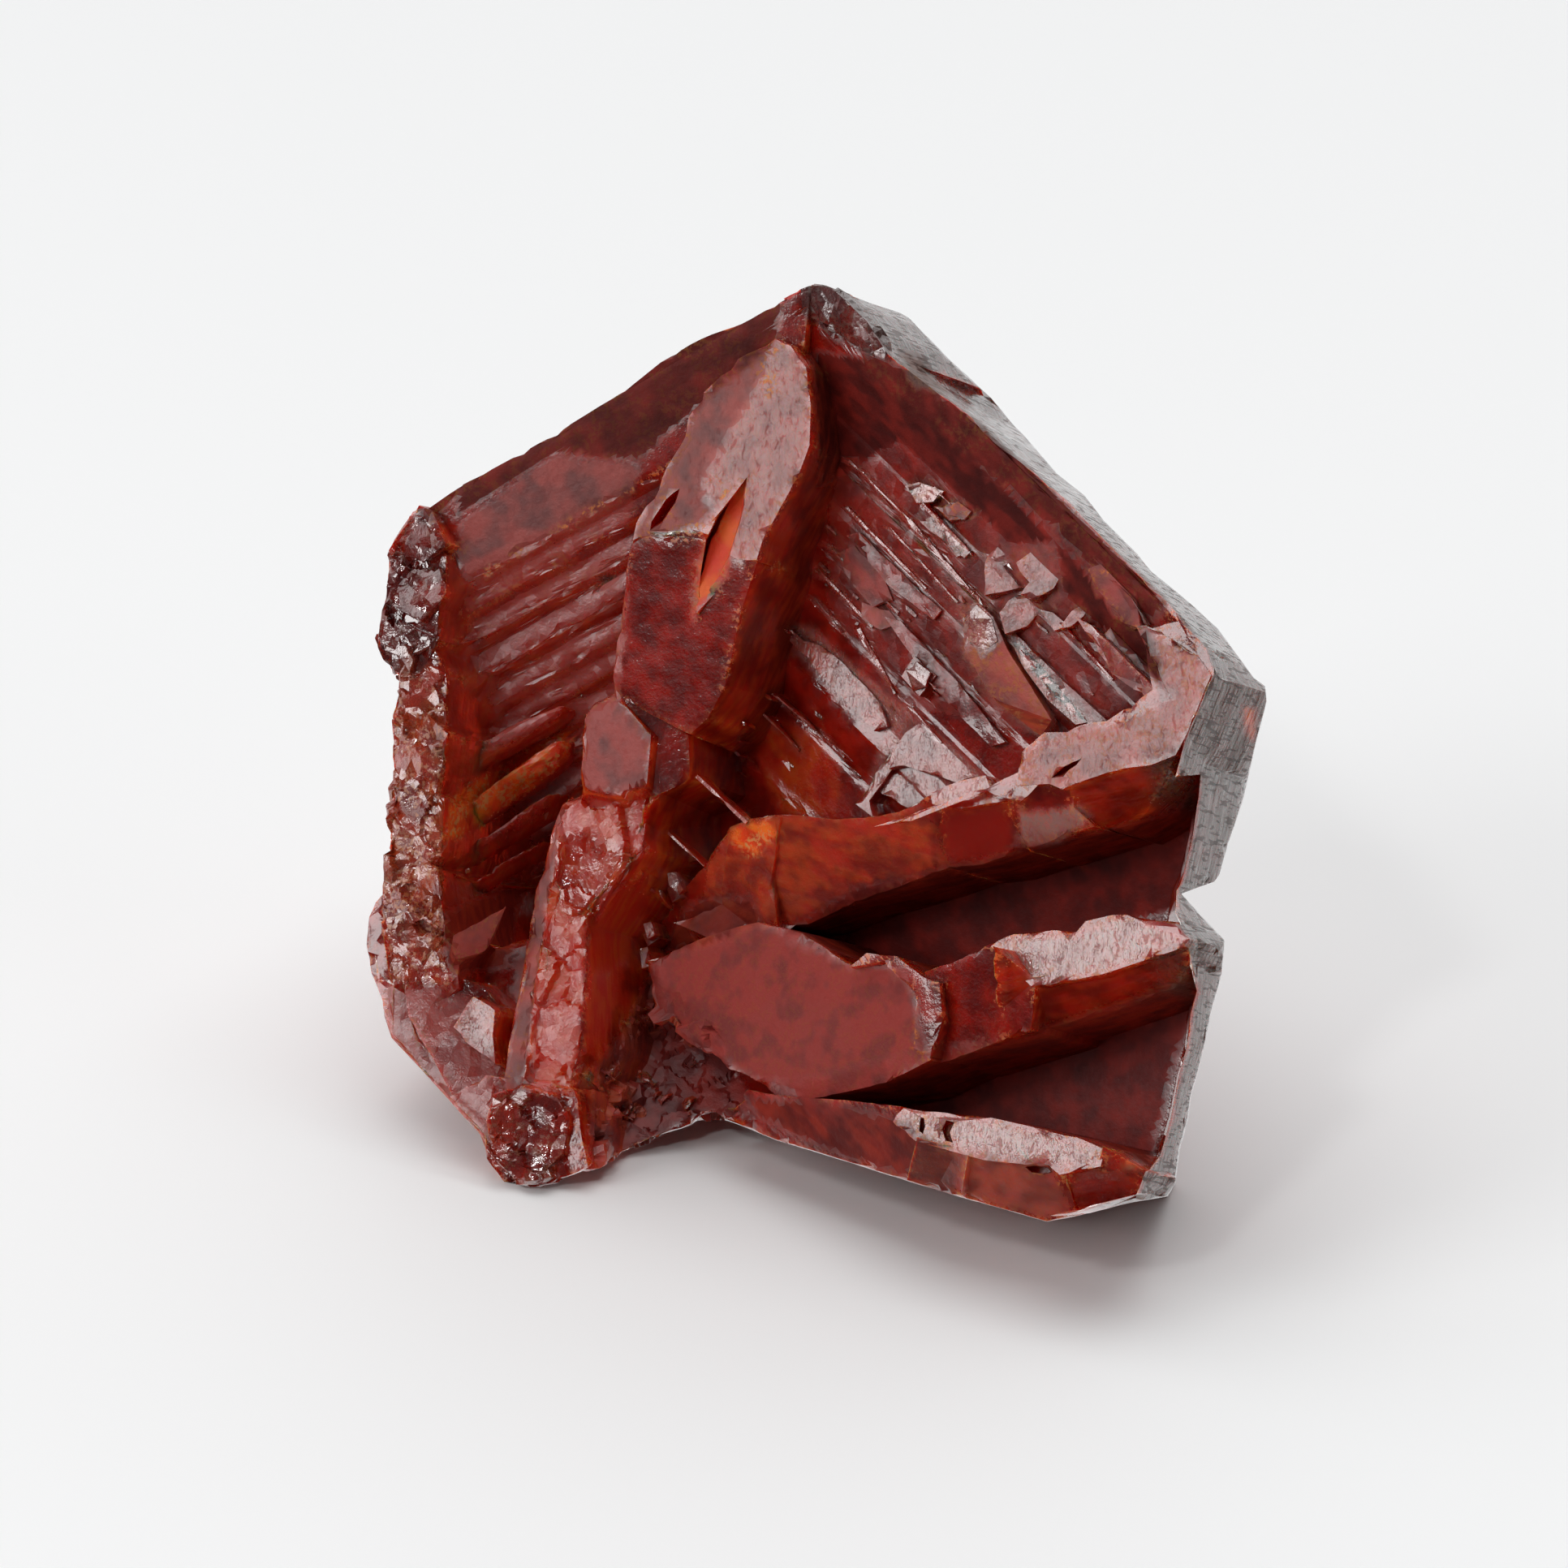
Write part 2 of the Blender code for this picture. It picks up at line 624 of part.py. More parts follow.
def add_right_ledges(group):
    """Small bright basal faces and blocks that stand out of the right-hand hopper."""
    foot = OPEN_FLOOR - 0.5
    pieces = (
        ("tread_one", ((1118, 600), (1132, 596), (1160, 606), (1150, 616), (1130, 618)), -1.15),
        ("tread_two", ((1154, 625), (1170, 620), (1199, 627), (1190, 636), (1168, 641)), -1.25),
        ("tread_three", ((1137, 644), (1168, 642), (1199, 676), (1179, 684)), -1.62),
        (
            "chevron_left",
            (
                (1216, 684), (1228, 677), (1244, 673), (1265, 682), (1253, 688), (1232, 696),
                (1255, 723), (1213, 732), (1215, 702),
            ),
            -1.32,
        ),
        (
            "chevron_right",
            (
                (1255, 694), (1274, 681), (1284, 694), (1303, 711), (1297, 723), (1271, 738),
                (1259, 732), (1272, 717), (1257, 702),
            ),
            -0.98,
        ),
        (
            "dim_step",
            ((1234, 755), (1244, 742), (1261, 732), (1284, 747), (1265, 769), (1240, 778)),
            -1.62,
        ),
        ("small_step", ((1284, 753), (1296, 757), (1313, 770), (1300, 774)), -1.36),
        ("hook_step", ((1308, 772), (1322, 755), (1339, 745), (1334, 757), (1318, 770)), -1.08),
        (
            "leaf",
            ((1187, 763), (1200, 744), (1213, 759), (1216, 786), (1221, 803), (1207, 792)),
            -2.12,
        ),
        ("block_crystal", ((1114, 833), (1127, 812), (1150, 833), (1133, 854)), -2.80),
        (
            "triangle_flat",
            (
                (1140, 890), (1173, 919), (1205, 953), (1179, 961), (1146, 951), (1114, 940),
                (1098, 944), (1104, 925), (1117, 905),
            ),
            -3.80,
        ),
        (
            "small_flat",
            ((1080, 963), (1098, 953), (1112, 961), (1137, 984), (1119, 993), (1089, 976)),
            -4.25,
        ),
        (
            "dim_band",
            ((1104, 919), (1112, 926), (1086, 962), (1068, 986), (1073, 1003), (1058, 990)),
            -4.05,
        ),
        ("bar_flat", ((1351, 793), (1368, 778), (1433, 843), (1414, 857)), -0.92),
        ("spark_one", ((820, 1080), (832, 1074), (843, 1104), (830, 1108)), -4.55),
        ("spark_two", ((791, 1140), (800, 1135), (809, 1155), (800, 1161)), -4.75),
        ("spark_three", ((788, 1174), (796, 1171), (800, 1187), (791, 1190)), -4.65),
    )
    for name, outline, top in pieces:
        block(name, outline, top, foot, group, 1.5)
    block(
        "amber_blade",
        (
            (1180, 800), (1187, 765), (1205, 790), (1253, 840), (1287, 875), (1290, 905),
            (1272, 912), (1223, 870), (1194, 840),
        ),
        ((1187, 765, -2.45), (1287, 875, -2.6), (1223, 870, -3.5)), foot, group,
    )
    block(
        "long_tread",
        ((1238, 778), (1252, 786), (1300, 834), (1360, 888), (1346, 893), (1296, 850)),
        -1.95, foot, group, 4.0,
    )
    block(
        "long_tread_flank",
        ((1232, 790), (1246, 786), (1300, 838), (1350, 890), (1310, 900), (1262, 850)),
        ((1240, 780, -2.0), (1354, 890, -2.0), (1290, 880, -2.7)), foot, group,
    )
    block(
        "scaly_mass",
        (
            (1244, 640), (1250, 622), (1265, 613), (1284, 619), (1308, 650), (1325, 684),
            (1318, 715), (1296, 700), (1270, 680), (1252, 665),
        ),
        ((1265, 615, -0.75), (1322, 684, -0.75), (1255, 672, -1.7)), foot, group, 4.0,
    )
    block(
        "light_ridge",
        (
            (1284, 626), (1300, 636), (1336, 686), (1390, 738), (1410, 768), (1398, 772),
            (1372, 756), (1330, 712), (1312, 684),
        ),
        ((1290, 630, -0.4), (1406, 769, -0.3), (1330, 710, -1.0)), foot, group,
    )


def add_left_side(group):
    """The rough left rim, the bands below it and the foot."""
    foot = OPEN_FLOOR - 0.5
    ridge = (
        (
            "ridge_one",
            ((488, 790), (520, 780), (548, 830), (546, 905), (516, 920), (488, 890)),
            ((500, 785, -0.15), (546, 870, -0.75), (490, 900, -0.45)),
        ),
        (
            "ridge_two",
            ((486, 890), (522, 880), (548, 905), (534, 975), (508, 1000), (486, 980)),
            ((500, 885, -0.65), (545, 930, -0.35), (490, 985, -0.9)),
        ),
        (
            "ridge_three",
            ((484, 975), (512, 960), (544, 985), (542, 1050), (514, 1090), (480, 1080)),
            ((500, 965, -0.35), (544, 1020, -0.8), (490, 1085, -0.55)),
        ),
        (
            "ridge_four",
            ((476, 1075), (508, 1050), (534, 1075), (546, 1150), (520, 1180), (474, 1150)),
            ((500, 1055, -0.8), (546, 1120, -0.5), (480, 1155, -0.9)),
        ),
        (
            "ridge_five",
            ((474, 1140), (520, 1130), (556, 1160), (562, 1215), (530, 1240), (484, 1210)),
            ((500, 1135, -0.4), (560, 1190, -0.75), (500, 1225, -0.9)),
        ),
    )
    for name, outline, top in ridge:
        block(name, outline, top, foot, group)
    knob = (
        (
            "knob_top",
            ((511, 625), (530, 633), (545, 668), (520, 690), (492, 686), (486, 662)),
            ((511, 625, 0.0), (545, 668, 0.2), (486, 690, -0.1)),
        ),
        (
            "knob_middle",
            ((484, 667), (515, 662), (547, 686), (546, 730), (518, 760), (476, 740), (477, 713)),
            ((484, 667, -0.1), (547, 686, -0.2), (500, 750, 0.35)),
        ),
        (
            "knob_low",
            ((476, 722), (510, 724), (538, 742), (534, 785), (505, 806), (464, 790), (471, 752)),
            ((476, 722, 0.3), (538, 742, -0.1), (500, 800, 0.0)),
        ),
        (
            "knob_foot",
            ((463, 786), (500, 772), (530, 788), (522, 820), (492, 833), (473, 818)),
            ((463, 786, -0.2), (530, 788, -0.1), (490, 832, -0.8)),
        ),
    )
    for name, outline, top in knob:
        block(name, outline, top, foot, group)
    block(
        "outer_band",
        (
            (454, 1130), (470, 1110), (486, 1150), (500, 1235), (540, 1290), (600, 1372),
            (600, 1412), (553, 1358), (515, 1316), (482, 1281), (472, 1254), (457, 1200),
            (451, 1164),
        ),
        -1.3, foot, group,
    )
    block(
        "inner_band",
        (
            (500, 1200), (540, 1205), (586, 1215), (612, 1240), (622, 1300), (618, 1350),
            (604, 1400), (575, 1372), (536, 1300), (508, 1250),
        ),
        ((540, 1205, -0.9), (622, 1300, -1.5), (575, 1372, -0.7)), foot, group,
    )
    block(
        "diamond_flat",
        ((584, 1233), (606, 1247), (603, 1276), (607, 1304), (577, 1280), (565, 1265)),
        -0.75, foot, group, 3.0,
    )
    block(
        "foot_body",
        (
            (553, 1356), (600, 1330), (650, 1335), (706, 1346), (712, 1400), (720, 1436),
            (706, 1447), (668, 1457), (645, 1466), (626, 1463), (609, 1440), (591, 1398),
        ),
        ((600, 1335, -0.6), (706, 1346, -1.0), (650, 1462, -0.9)), foot, group,
    )
    block(
        "foot_knob",
        (
            (612, 1352), (640, 1342), (680, 1350), (698, 1380), (690, 1420), (668, 1442),
            (636, 1446), (612, 1420), (604, 1380),
        ),
        ((640, 1342, -0.25), (698, 1400, -0.85), (620, 1440, -0.2)), -5.0, group, 4.0,
    )


def add_grooves(group):
    """Slots and cracks cut into the ribs."""
    sight_block(
        "orange_slot",
        (
            (928, 568), (920, 625), (901, 687), (884, 721), (855, 757), (859, 713), (867, 664),
            (886, 625),
        ),
        ABOVE, ((928, 568, -0.6), (867, 664, -1.6), (884, 721, -1.5)), group, 0.7,
    )
    sight_block(
        "small_slit",
        ((844, 591), (838, 614), (814, 648), (794, 662), (797, 648), (822, 610)),
        ABOVE, -0.7, group, 0.6,
    )
    sight_block(
        "corner_slit",
        ((1288, 963), (1310, 944), (1339, 930), (1330, 941), (1305, 957)),
        ABOVE, -0.7, group, 0.6,
    )
    sight_block(
        "flat_crack_one",
        ((1133, 1374), (1139, 1374), (1141, 1388), (1137, 1402), (1131, 1396)),
        ABOVE, -0.35, group, 0.6,
    )
    sight_block(
        "flat_crack_two",
        ((1164, 1376), (1178, 1378), (1170, 1396), (1176, 1414), (1164, 1410), (1160, 1390)),
        ABOVE, -0.4, group, 0.6,
    )
    sight_block(
        "red_pit",
        ((1256, 1437), (1270, 1434), (1298, 1437), (1304, 1446), (1290, 1449), (1266, 1446)),
        ABOVE, -0.8, group, 0.6,
    )


def add_openings(group):
    """The hoppers and recesses that are sunk between the ribs."""
    right = staircase("right_hopper", RIGHT_RIM_LINE, right_profile(), group)
    left = staircase("left_hopper", LEFT_RIM_LINE, left_profile(), group)
    upper_floor = ((1000, 1150, -6.8), (1450, 1050, -5.2), (1250, 1160, -6.2))
    sight_block("upper_recess", RECESS_UPPER, ABOVE, upper_floor, group, 0.97)
    lower_floor = ((1000, 1340, -6.6), (1455, 1250, -4.6), (1400, 1430, -5.2))
    sight_block("lower_recess", RECESS_LOWER, ABOVE, lower_floor, group, 0.97)
    sight_block("clear_right", CLEAR_RIGHT, ABOVE, -4.2, group)
    left_floor = ((545, 1190, -2.0), (700, 1440, -2.2), (760, 940, -5.4))
    sight_block("clear_left", CLEAR_LEFT, ABOVE, left_floor, group)
    sight_block("clear_edge", CLEAR_EDGE, ABOVE, -0.9, group)
    sight_block("side_notch", NOTCH, ABOVE, -14.0, group)
    middle_floor = ((700, 1440, -2.6), (790, 1150, -6.4), (885, 1376, -5.2))
    sight_block("lower_middle", LOWER_MIDDLE, ABOVE, middle_floor, group)
    return right, left


def add_back(group):
    """Stepped parallel prisms on the broken back and the root that carries the crystal."""
    prisms = (
        ("back_prism_one", (1010, 800), 6.4, -13.2, 0.0),
        ("back_prism_two", (860, 1010), 5.2, -14.4, 0.12),
        ("back_prism_three", (1150, 960), 5.0, -12.4, -0.08),
        ("back_prism_four", (1120, 1180), 4.6, -13.4, 0.05),
        ("back_prism_five", (900, 660), 4.2, -12.2, -0.05),
    )
    for name, centre, radius, end, turn in prisms:
        ring = []
        middle = at_level(centre[0], centre[1], end)
        for k in range(6):
            angle = math.radians(-42.9 + 60 * k) + turn
            ring.append(middle + Vector((math.cos(angle), math.sin(angle), 0)) * (radius * MM))
        upper = [Vector((point.x, point.y, -8.8 * MM)) for point in ring]
        skin(name, [upper, ring], group)


def stand_up(obj):
    """Turns a mesh from the upright crystal frame into the attitude in which it stands."""
    turn = Matrix((AXES[0], AXES[1], AXES[2])).transposed().to_4x4()
    obj.data.transform(Matrix.Translation((STAND_X, STAND_Y, CENTRE_HEIGHT)) @ turn)


def crystal_material():
    material = bpy.data.materials.new("vanadinite")
    material.use_nodes = True
    shader = material.node_tree.nodes["Principled BSDF"]
    shader.inputs["Base Color"].default_value = (0.30, 0.025, 0.012, 1.0)
    shader.inputs["Roughness"].default_value = 0.12
    shader.inputs["IOR"].default_value = 2.4
    return material


def settle(body):
    """Fixes the result of the modifiers as the mesh of the body."""
    graph = bpy.context.evaluated_depsgraph_get()
    mesh = bpy.data.meshes.new_from_object(body.evaluated_get(graph))
    body.modifiers.clear()
    body.data = mesh


def keep_largest(body):
    """Removes loose chips and closed pockets, which are shells of their own."""
    shape = bmesh.new()
    shape.from_mesh(body.data)
    shells = []
    seen = set()
    for start in shape.verts:
        if start in seen:
            continue
        seen.add(start)
        waiting = [start]
        shell = []
        while waiting:
            corner = waiting.pop()
            shell.append(corner)
            for edge in corner.link_edges:
                other = edge.other_vert(corner)
                if other not in seen:
                    seen.add(other)
                    waiting.append(other)
        shells.append(shell)
    shells.sort(key=len)
    for shell in shells[:-1]:
        bmesh.ops.delete(shape, geom=shell, context="VERTS")
    shape.to_mesh(body.data)
    shape.free()


def main():
    clear_scene()
    parts = new_collection("vanadinite_crystal_cluster")
    openings = new_collection("openings")
    ribs = new_collection("ribs")
    outside = new_collection("outside")
    grooves = new_collection("grooves")
    body = main_body("vanadinite_crystal", parts)
    right, left = add_openings(openings)
    right_limit = sector("right_limit", RIB_LINE[:-1] + RIGHT_SECTOR_END, parts)
    overlap = tuple((x + 14, y, level) for x, y, level in RIB_LINE)
    left_limit = sector("left_limit", overlap + LEFT_SECTOR_END, parts)
    for stair, limit in ((right, right_limit), (left, left_limit)):
        boolean(stair, "INTERSECT", limit)
    bpy.context.view_layer.update()
    for stair, limit in ((right, right_limit), (left, left_limit)):
        settle(stair)
        bpy.data.objects.remove(limit, do_unlink=True)
    add_ribs(ribs)
    add_cross_ribs(ribs)
    add_right_ledges(ribs)
    add_left_side(ribs)
    add_back(ribs)
    add_grooves(grooves)
    boolean(body, "DIFFERENCE", group=openings)
    settle(body)
    joined = ribs.objects[0]
    ribs.objects.unlink(joined)
    outside.objects.link(joined)
    boolean(joined, "UNION", group=ribs)
    settle(joined)
    boolean(body, "UNION", joined)
    settle(body)
    limit = sight_block("outline_limit", SILHOUETTE, ABOVE + 1.0, -24.0, grooves)
    grooves.objects.unlink(limit)
    outside.objects.link(limit)
    boolean(body, "INTERSECT", limit)
    settle(body)
    boolean(body, "DIFFERENCE", group=grooves)
    settle(body)
    stand_up(body)
    cut = new_collection("ground_cut")
    ground = bpy.data.meshes.new("ground")
    shape = bmesh.new()
    bmesh.ops.create_cube(shape, size=0.1)
    bmesh.ops.translate(shape, verts=shape.verts, vec=(0, 0, -0.05))
    shape.to_mesh(ground)
    shape.free()
    below = bpy.data.objects.new("ground", ground)
    cut.objects.link(below)
    boolean(body, "DIFFERENCE", below)
    settle(body)
    keep_largest(body)
    body.data.materials.clear()
    body.data.materials.append(crystal_material())
    for group in (openings, ribs, outside, grooves, cut):
        for obj in group.objects:
            obj.hide_render = True
            obj.display_type = "WIRE"


main()
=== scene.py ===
"""Skeletal vanadinite crystal: its finished surface, and a stage with soft light.

The crystal's own frame has its origin at the middle of the open basal face, with local Z
along the long axis. Regions of the surface are outlined in that frame, in units of 0.025 mm
as the eye in front of the crystal sees them, each on the level at which it lies.
"""

import math

import bmesh
import bpy
import numpy as np
from bpy.props import FloatProperty, FloatVectorProperty, PointerProperty
from mathutils import Matrix, Vector, kdtree, noise
from mathutils.bvhtree import BVHTree


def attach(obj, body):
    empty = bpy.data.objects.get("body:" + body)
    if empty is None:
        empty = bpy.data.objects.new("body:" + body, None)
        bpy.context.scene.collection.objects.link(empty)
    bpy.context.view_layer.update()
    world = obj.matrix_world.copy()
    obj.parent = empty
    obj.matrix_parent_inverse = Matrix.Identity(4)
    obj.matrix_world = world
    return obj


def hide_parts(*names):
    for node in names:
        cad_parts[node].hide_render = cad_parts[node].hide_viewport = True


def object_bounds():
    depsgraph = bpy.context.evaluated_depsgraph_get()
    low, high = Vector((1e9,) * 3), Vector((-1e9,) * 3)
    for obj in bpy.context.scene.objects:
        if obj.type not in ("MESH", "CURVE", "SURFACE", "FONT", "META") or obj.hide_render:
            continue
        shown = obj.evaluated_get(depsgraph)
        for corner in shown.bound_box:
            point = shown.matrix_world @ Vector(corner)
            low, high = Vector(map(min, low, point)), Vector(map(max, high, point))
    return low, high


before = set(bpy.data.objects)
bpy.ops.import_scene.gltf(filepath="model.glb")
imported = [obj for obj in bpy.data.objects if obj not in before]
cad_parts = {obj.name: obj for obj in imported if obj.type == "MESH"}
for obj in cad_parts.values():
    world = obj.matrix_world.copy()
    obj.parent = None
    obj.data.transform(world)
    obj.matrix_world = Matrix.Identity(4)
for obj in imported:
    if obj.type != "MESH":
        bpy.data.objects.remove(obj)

bl_info = {
    "name": "Skeletal vanadinite crystal",
    "version": (1, 0, 0),
    "blender": (4, 5, 0),
    "location": "3D View > Sidebar > Crystal",
    "description": "Makes a deep red skeletal vanadinite crystal on a pale floor",
    "category": "Object",
}

MM = 0.001
CAD_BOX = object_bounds()

# Attitude of the crystal and place of the eye, the same as in the solid.
VIEW_ELEVATION = math.radians(24.0)
AXIS_TURN = math.radians(28.0)
AXIS_RISE = math.radians(32.5)
EYE_DISTANCE = 332.0 * MM
EYE_RIGHT = -0.85 * MM
EYE_UP = -0.15 * MM
CENTRE = Vector((-0.09, -4.92, 13.15)) * MM
OUTLINE_UNIT = 0.025 * MM
OUTLINE_X = 1000.0
OUTLINE_Y = 960.0
# The broken back lies below this level, in mm.
BACK_DEPTH = -7.5

# Mesh work: corners nearer than this are one, flatter joins go, triangles with less area stay
# whole, smaller faces don't make an edge crisp, and edges that turn more are kept crisp.
SAME_PLACE = 3e-7
FLAT_TURN = math.radians(0.6)
SLIVER_AREA = 0.004 * MM * MM
SMALLEST_FACE = 1e-11
CRISP_TURN = math.radians(18.0)
SPLIT_ROUNDS = 30
# Ground with more lump than this gets the rough edge length.
ROUGH_GROUND = 0.3

# How far a face looks along the axis when it starts and ends to count as open, and how far
# away from the eye it looks when it starts and ends to count as the far side.
OPEN_FACE = (0.4, 0.8)
FAR_SIDE = (-0.35, -0.1)
# Soft edges in mm of the zones, the worn ground and the small pale faces, and the share of its
# reach over which a zone fades.
ZONE_FADE = 0.12
WORN_FADE = 0.3
FACET_FADE = 0.06
ZONE_ENDS = (0.8, 1.2)

# Painted amber glow in thin edges and on the walls, golden crust along the edges, taupe skin and
# painted deep shade: distances and levels in mm over which they fade, and how strong they are.
THIN_EDGE = 0.45
THIN_EDGE_GLOW = 0.55
LEAST_WALL_GLOW = 0.2
CRUST_WIDTH = 0.22
CRUST_SHARE = 0.7
CRUST_LEVELS = (-2.2, -0.8)
LEAST_CRUST = 0.25
SKIN_FADE = (0.9, 1.6)
DARK_DEPTHS = (4.0, 8.5)
DARK_SHARE = 0.74

# Gentle waves: height and size in mm, the start of their noise and its octaves. Film and open
# faces calm them.
WAVES = ((0.020, 1.7, 0.0, 2), (0.030, 3.2, 17.0, 1))
WAVE_FALL = 0.7
WAVE_STEP = 2.0
FILM_CALM = 0.8
OPEN_CALM = 0.7
# Lumps of the rough ground: size in mm and strength.
LUMPS = ((1.3, 0.55), (0.6, 0.18))
LEAST_LUMP = 0.02
LUMP_SPREAD = 41.3
# Worn outward edges: width, wear, and depth and size of the chips in mm; then their noise.
WEAR_WIDTH = 0.16
WEAR_DEPTH = 0.015
CHIP_DEPTH = 0.10
CHIP_SIZE = 0.7
CHIP_START = 31.0
CHIP_OCTAVES = 3
CHIPS_FROM = (0.05, 0.6)
# Corners lower than this above the floor stay where they are.
RESTING_HEIGHT = 0.01 * MM

# Where a face takes another lustre: how etched, dark, broken or shiny it is there.
ETCHED = 0.78
RECESS_DARK = 0.6
RECESS_LEVEL = -2.0
BROKEN = 0.75
SHINY = 0.6
# Shaded and lit copies: recess drops reflections where shade is painted; bright paints glints.
LUSTRES = (("vanadinite_dull", 0.05), ("vanadinite_recess", 0.03), ("vanadinite_bright", 1.0))
# Materials with less lustre than this have no etched pits and no facets.
LEAST_LUSTRE = 0.2

# Grains of the material: sizes and heights in mm, and how they are drawn out in the crystal.
LAYER_SIZE = 0.24
LAYER_HEIGHT = 0.05
LAYER_STRETCH = (5.0, 5.0, 1.0)
CLOUD_SIZE = 1.1
FINE_SIZE = 0.16
FINE_HEIGHT = 0.04
ETCH_SIZE = 0.19
ETCH_HEIGHT = 0.055
ETCH_STRETCH = (1.0, 2.2, 1.0)
ETCH_TWIST = 0.8
PATCH_SIZE = 0.8
DASH_SIZE = 0.11
DASH_STRETCH = (1.0, 1.0, 7.0)
FACET_SIZE = 0.5
# How far red, green and blue spread under the surface, as shares of the glow depth.
GLOW_RADIUS = (1.0, 0.12, 0.05)


class Zone:
    """A part of the surface with a look of its own."""

    def __init__(self, name, outline, level, reach, faces, **looks):
        self.name = name
        self.outline = outline
        self.level = level
        self.reach = reach
        self.faces = faces
        self.looks = looks


# The looks that the material reads from the mesh, and two more that only shape or sort it.
STORED_LOOKS = ("film", "matte", "amber", "gold", "grit", "dark", "body", "dash")
LOOKS = STORED_LOOKS + ("lump", "shine")

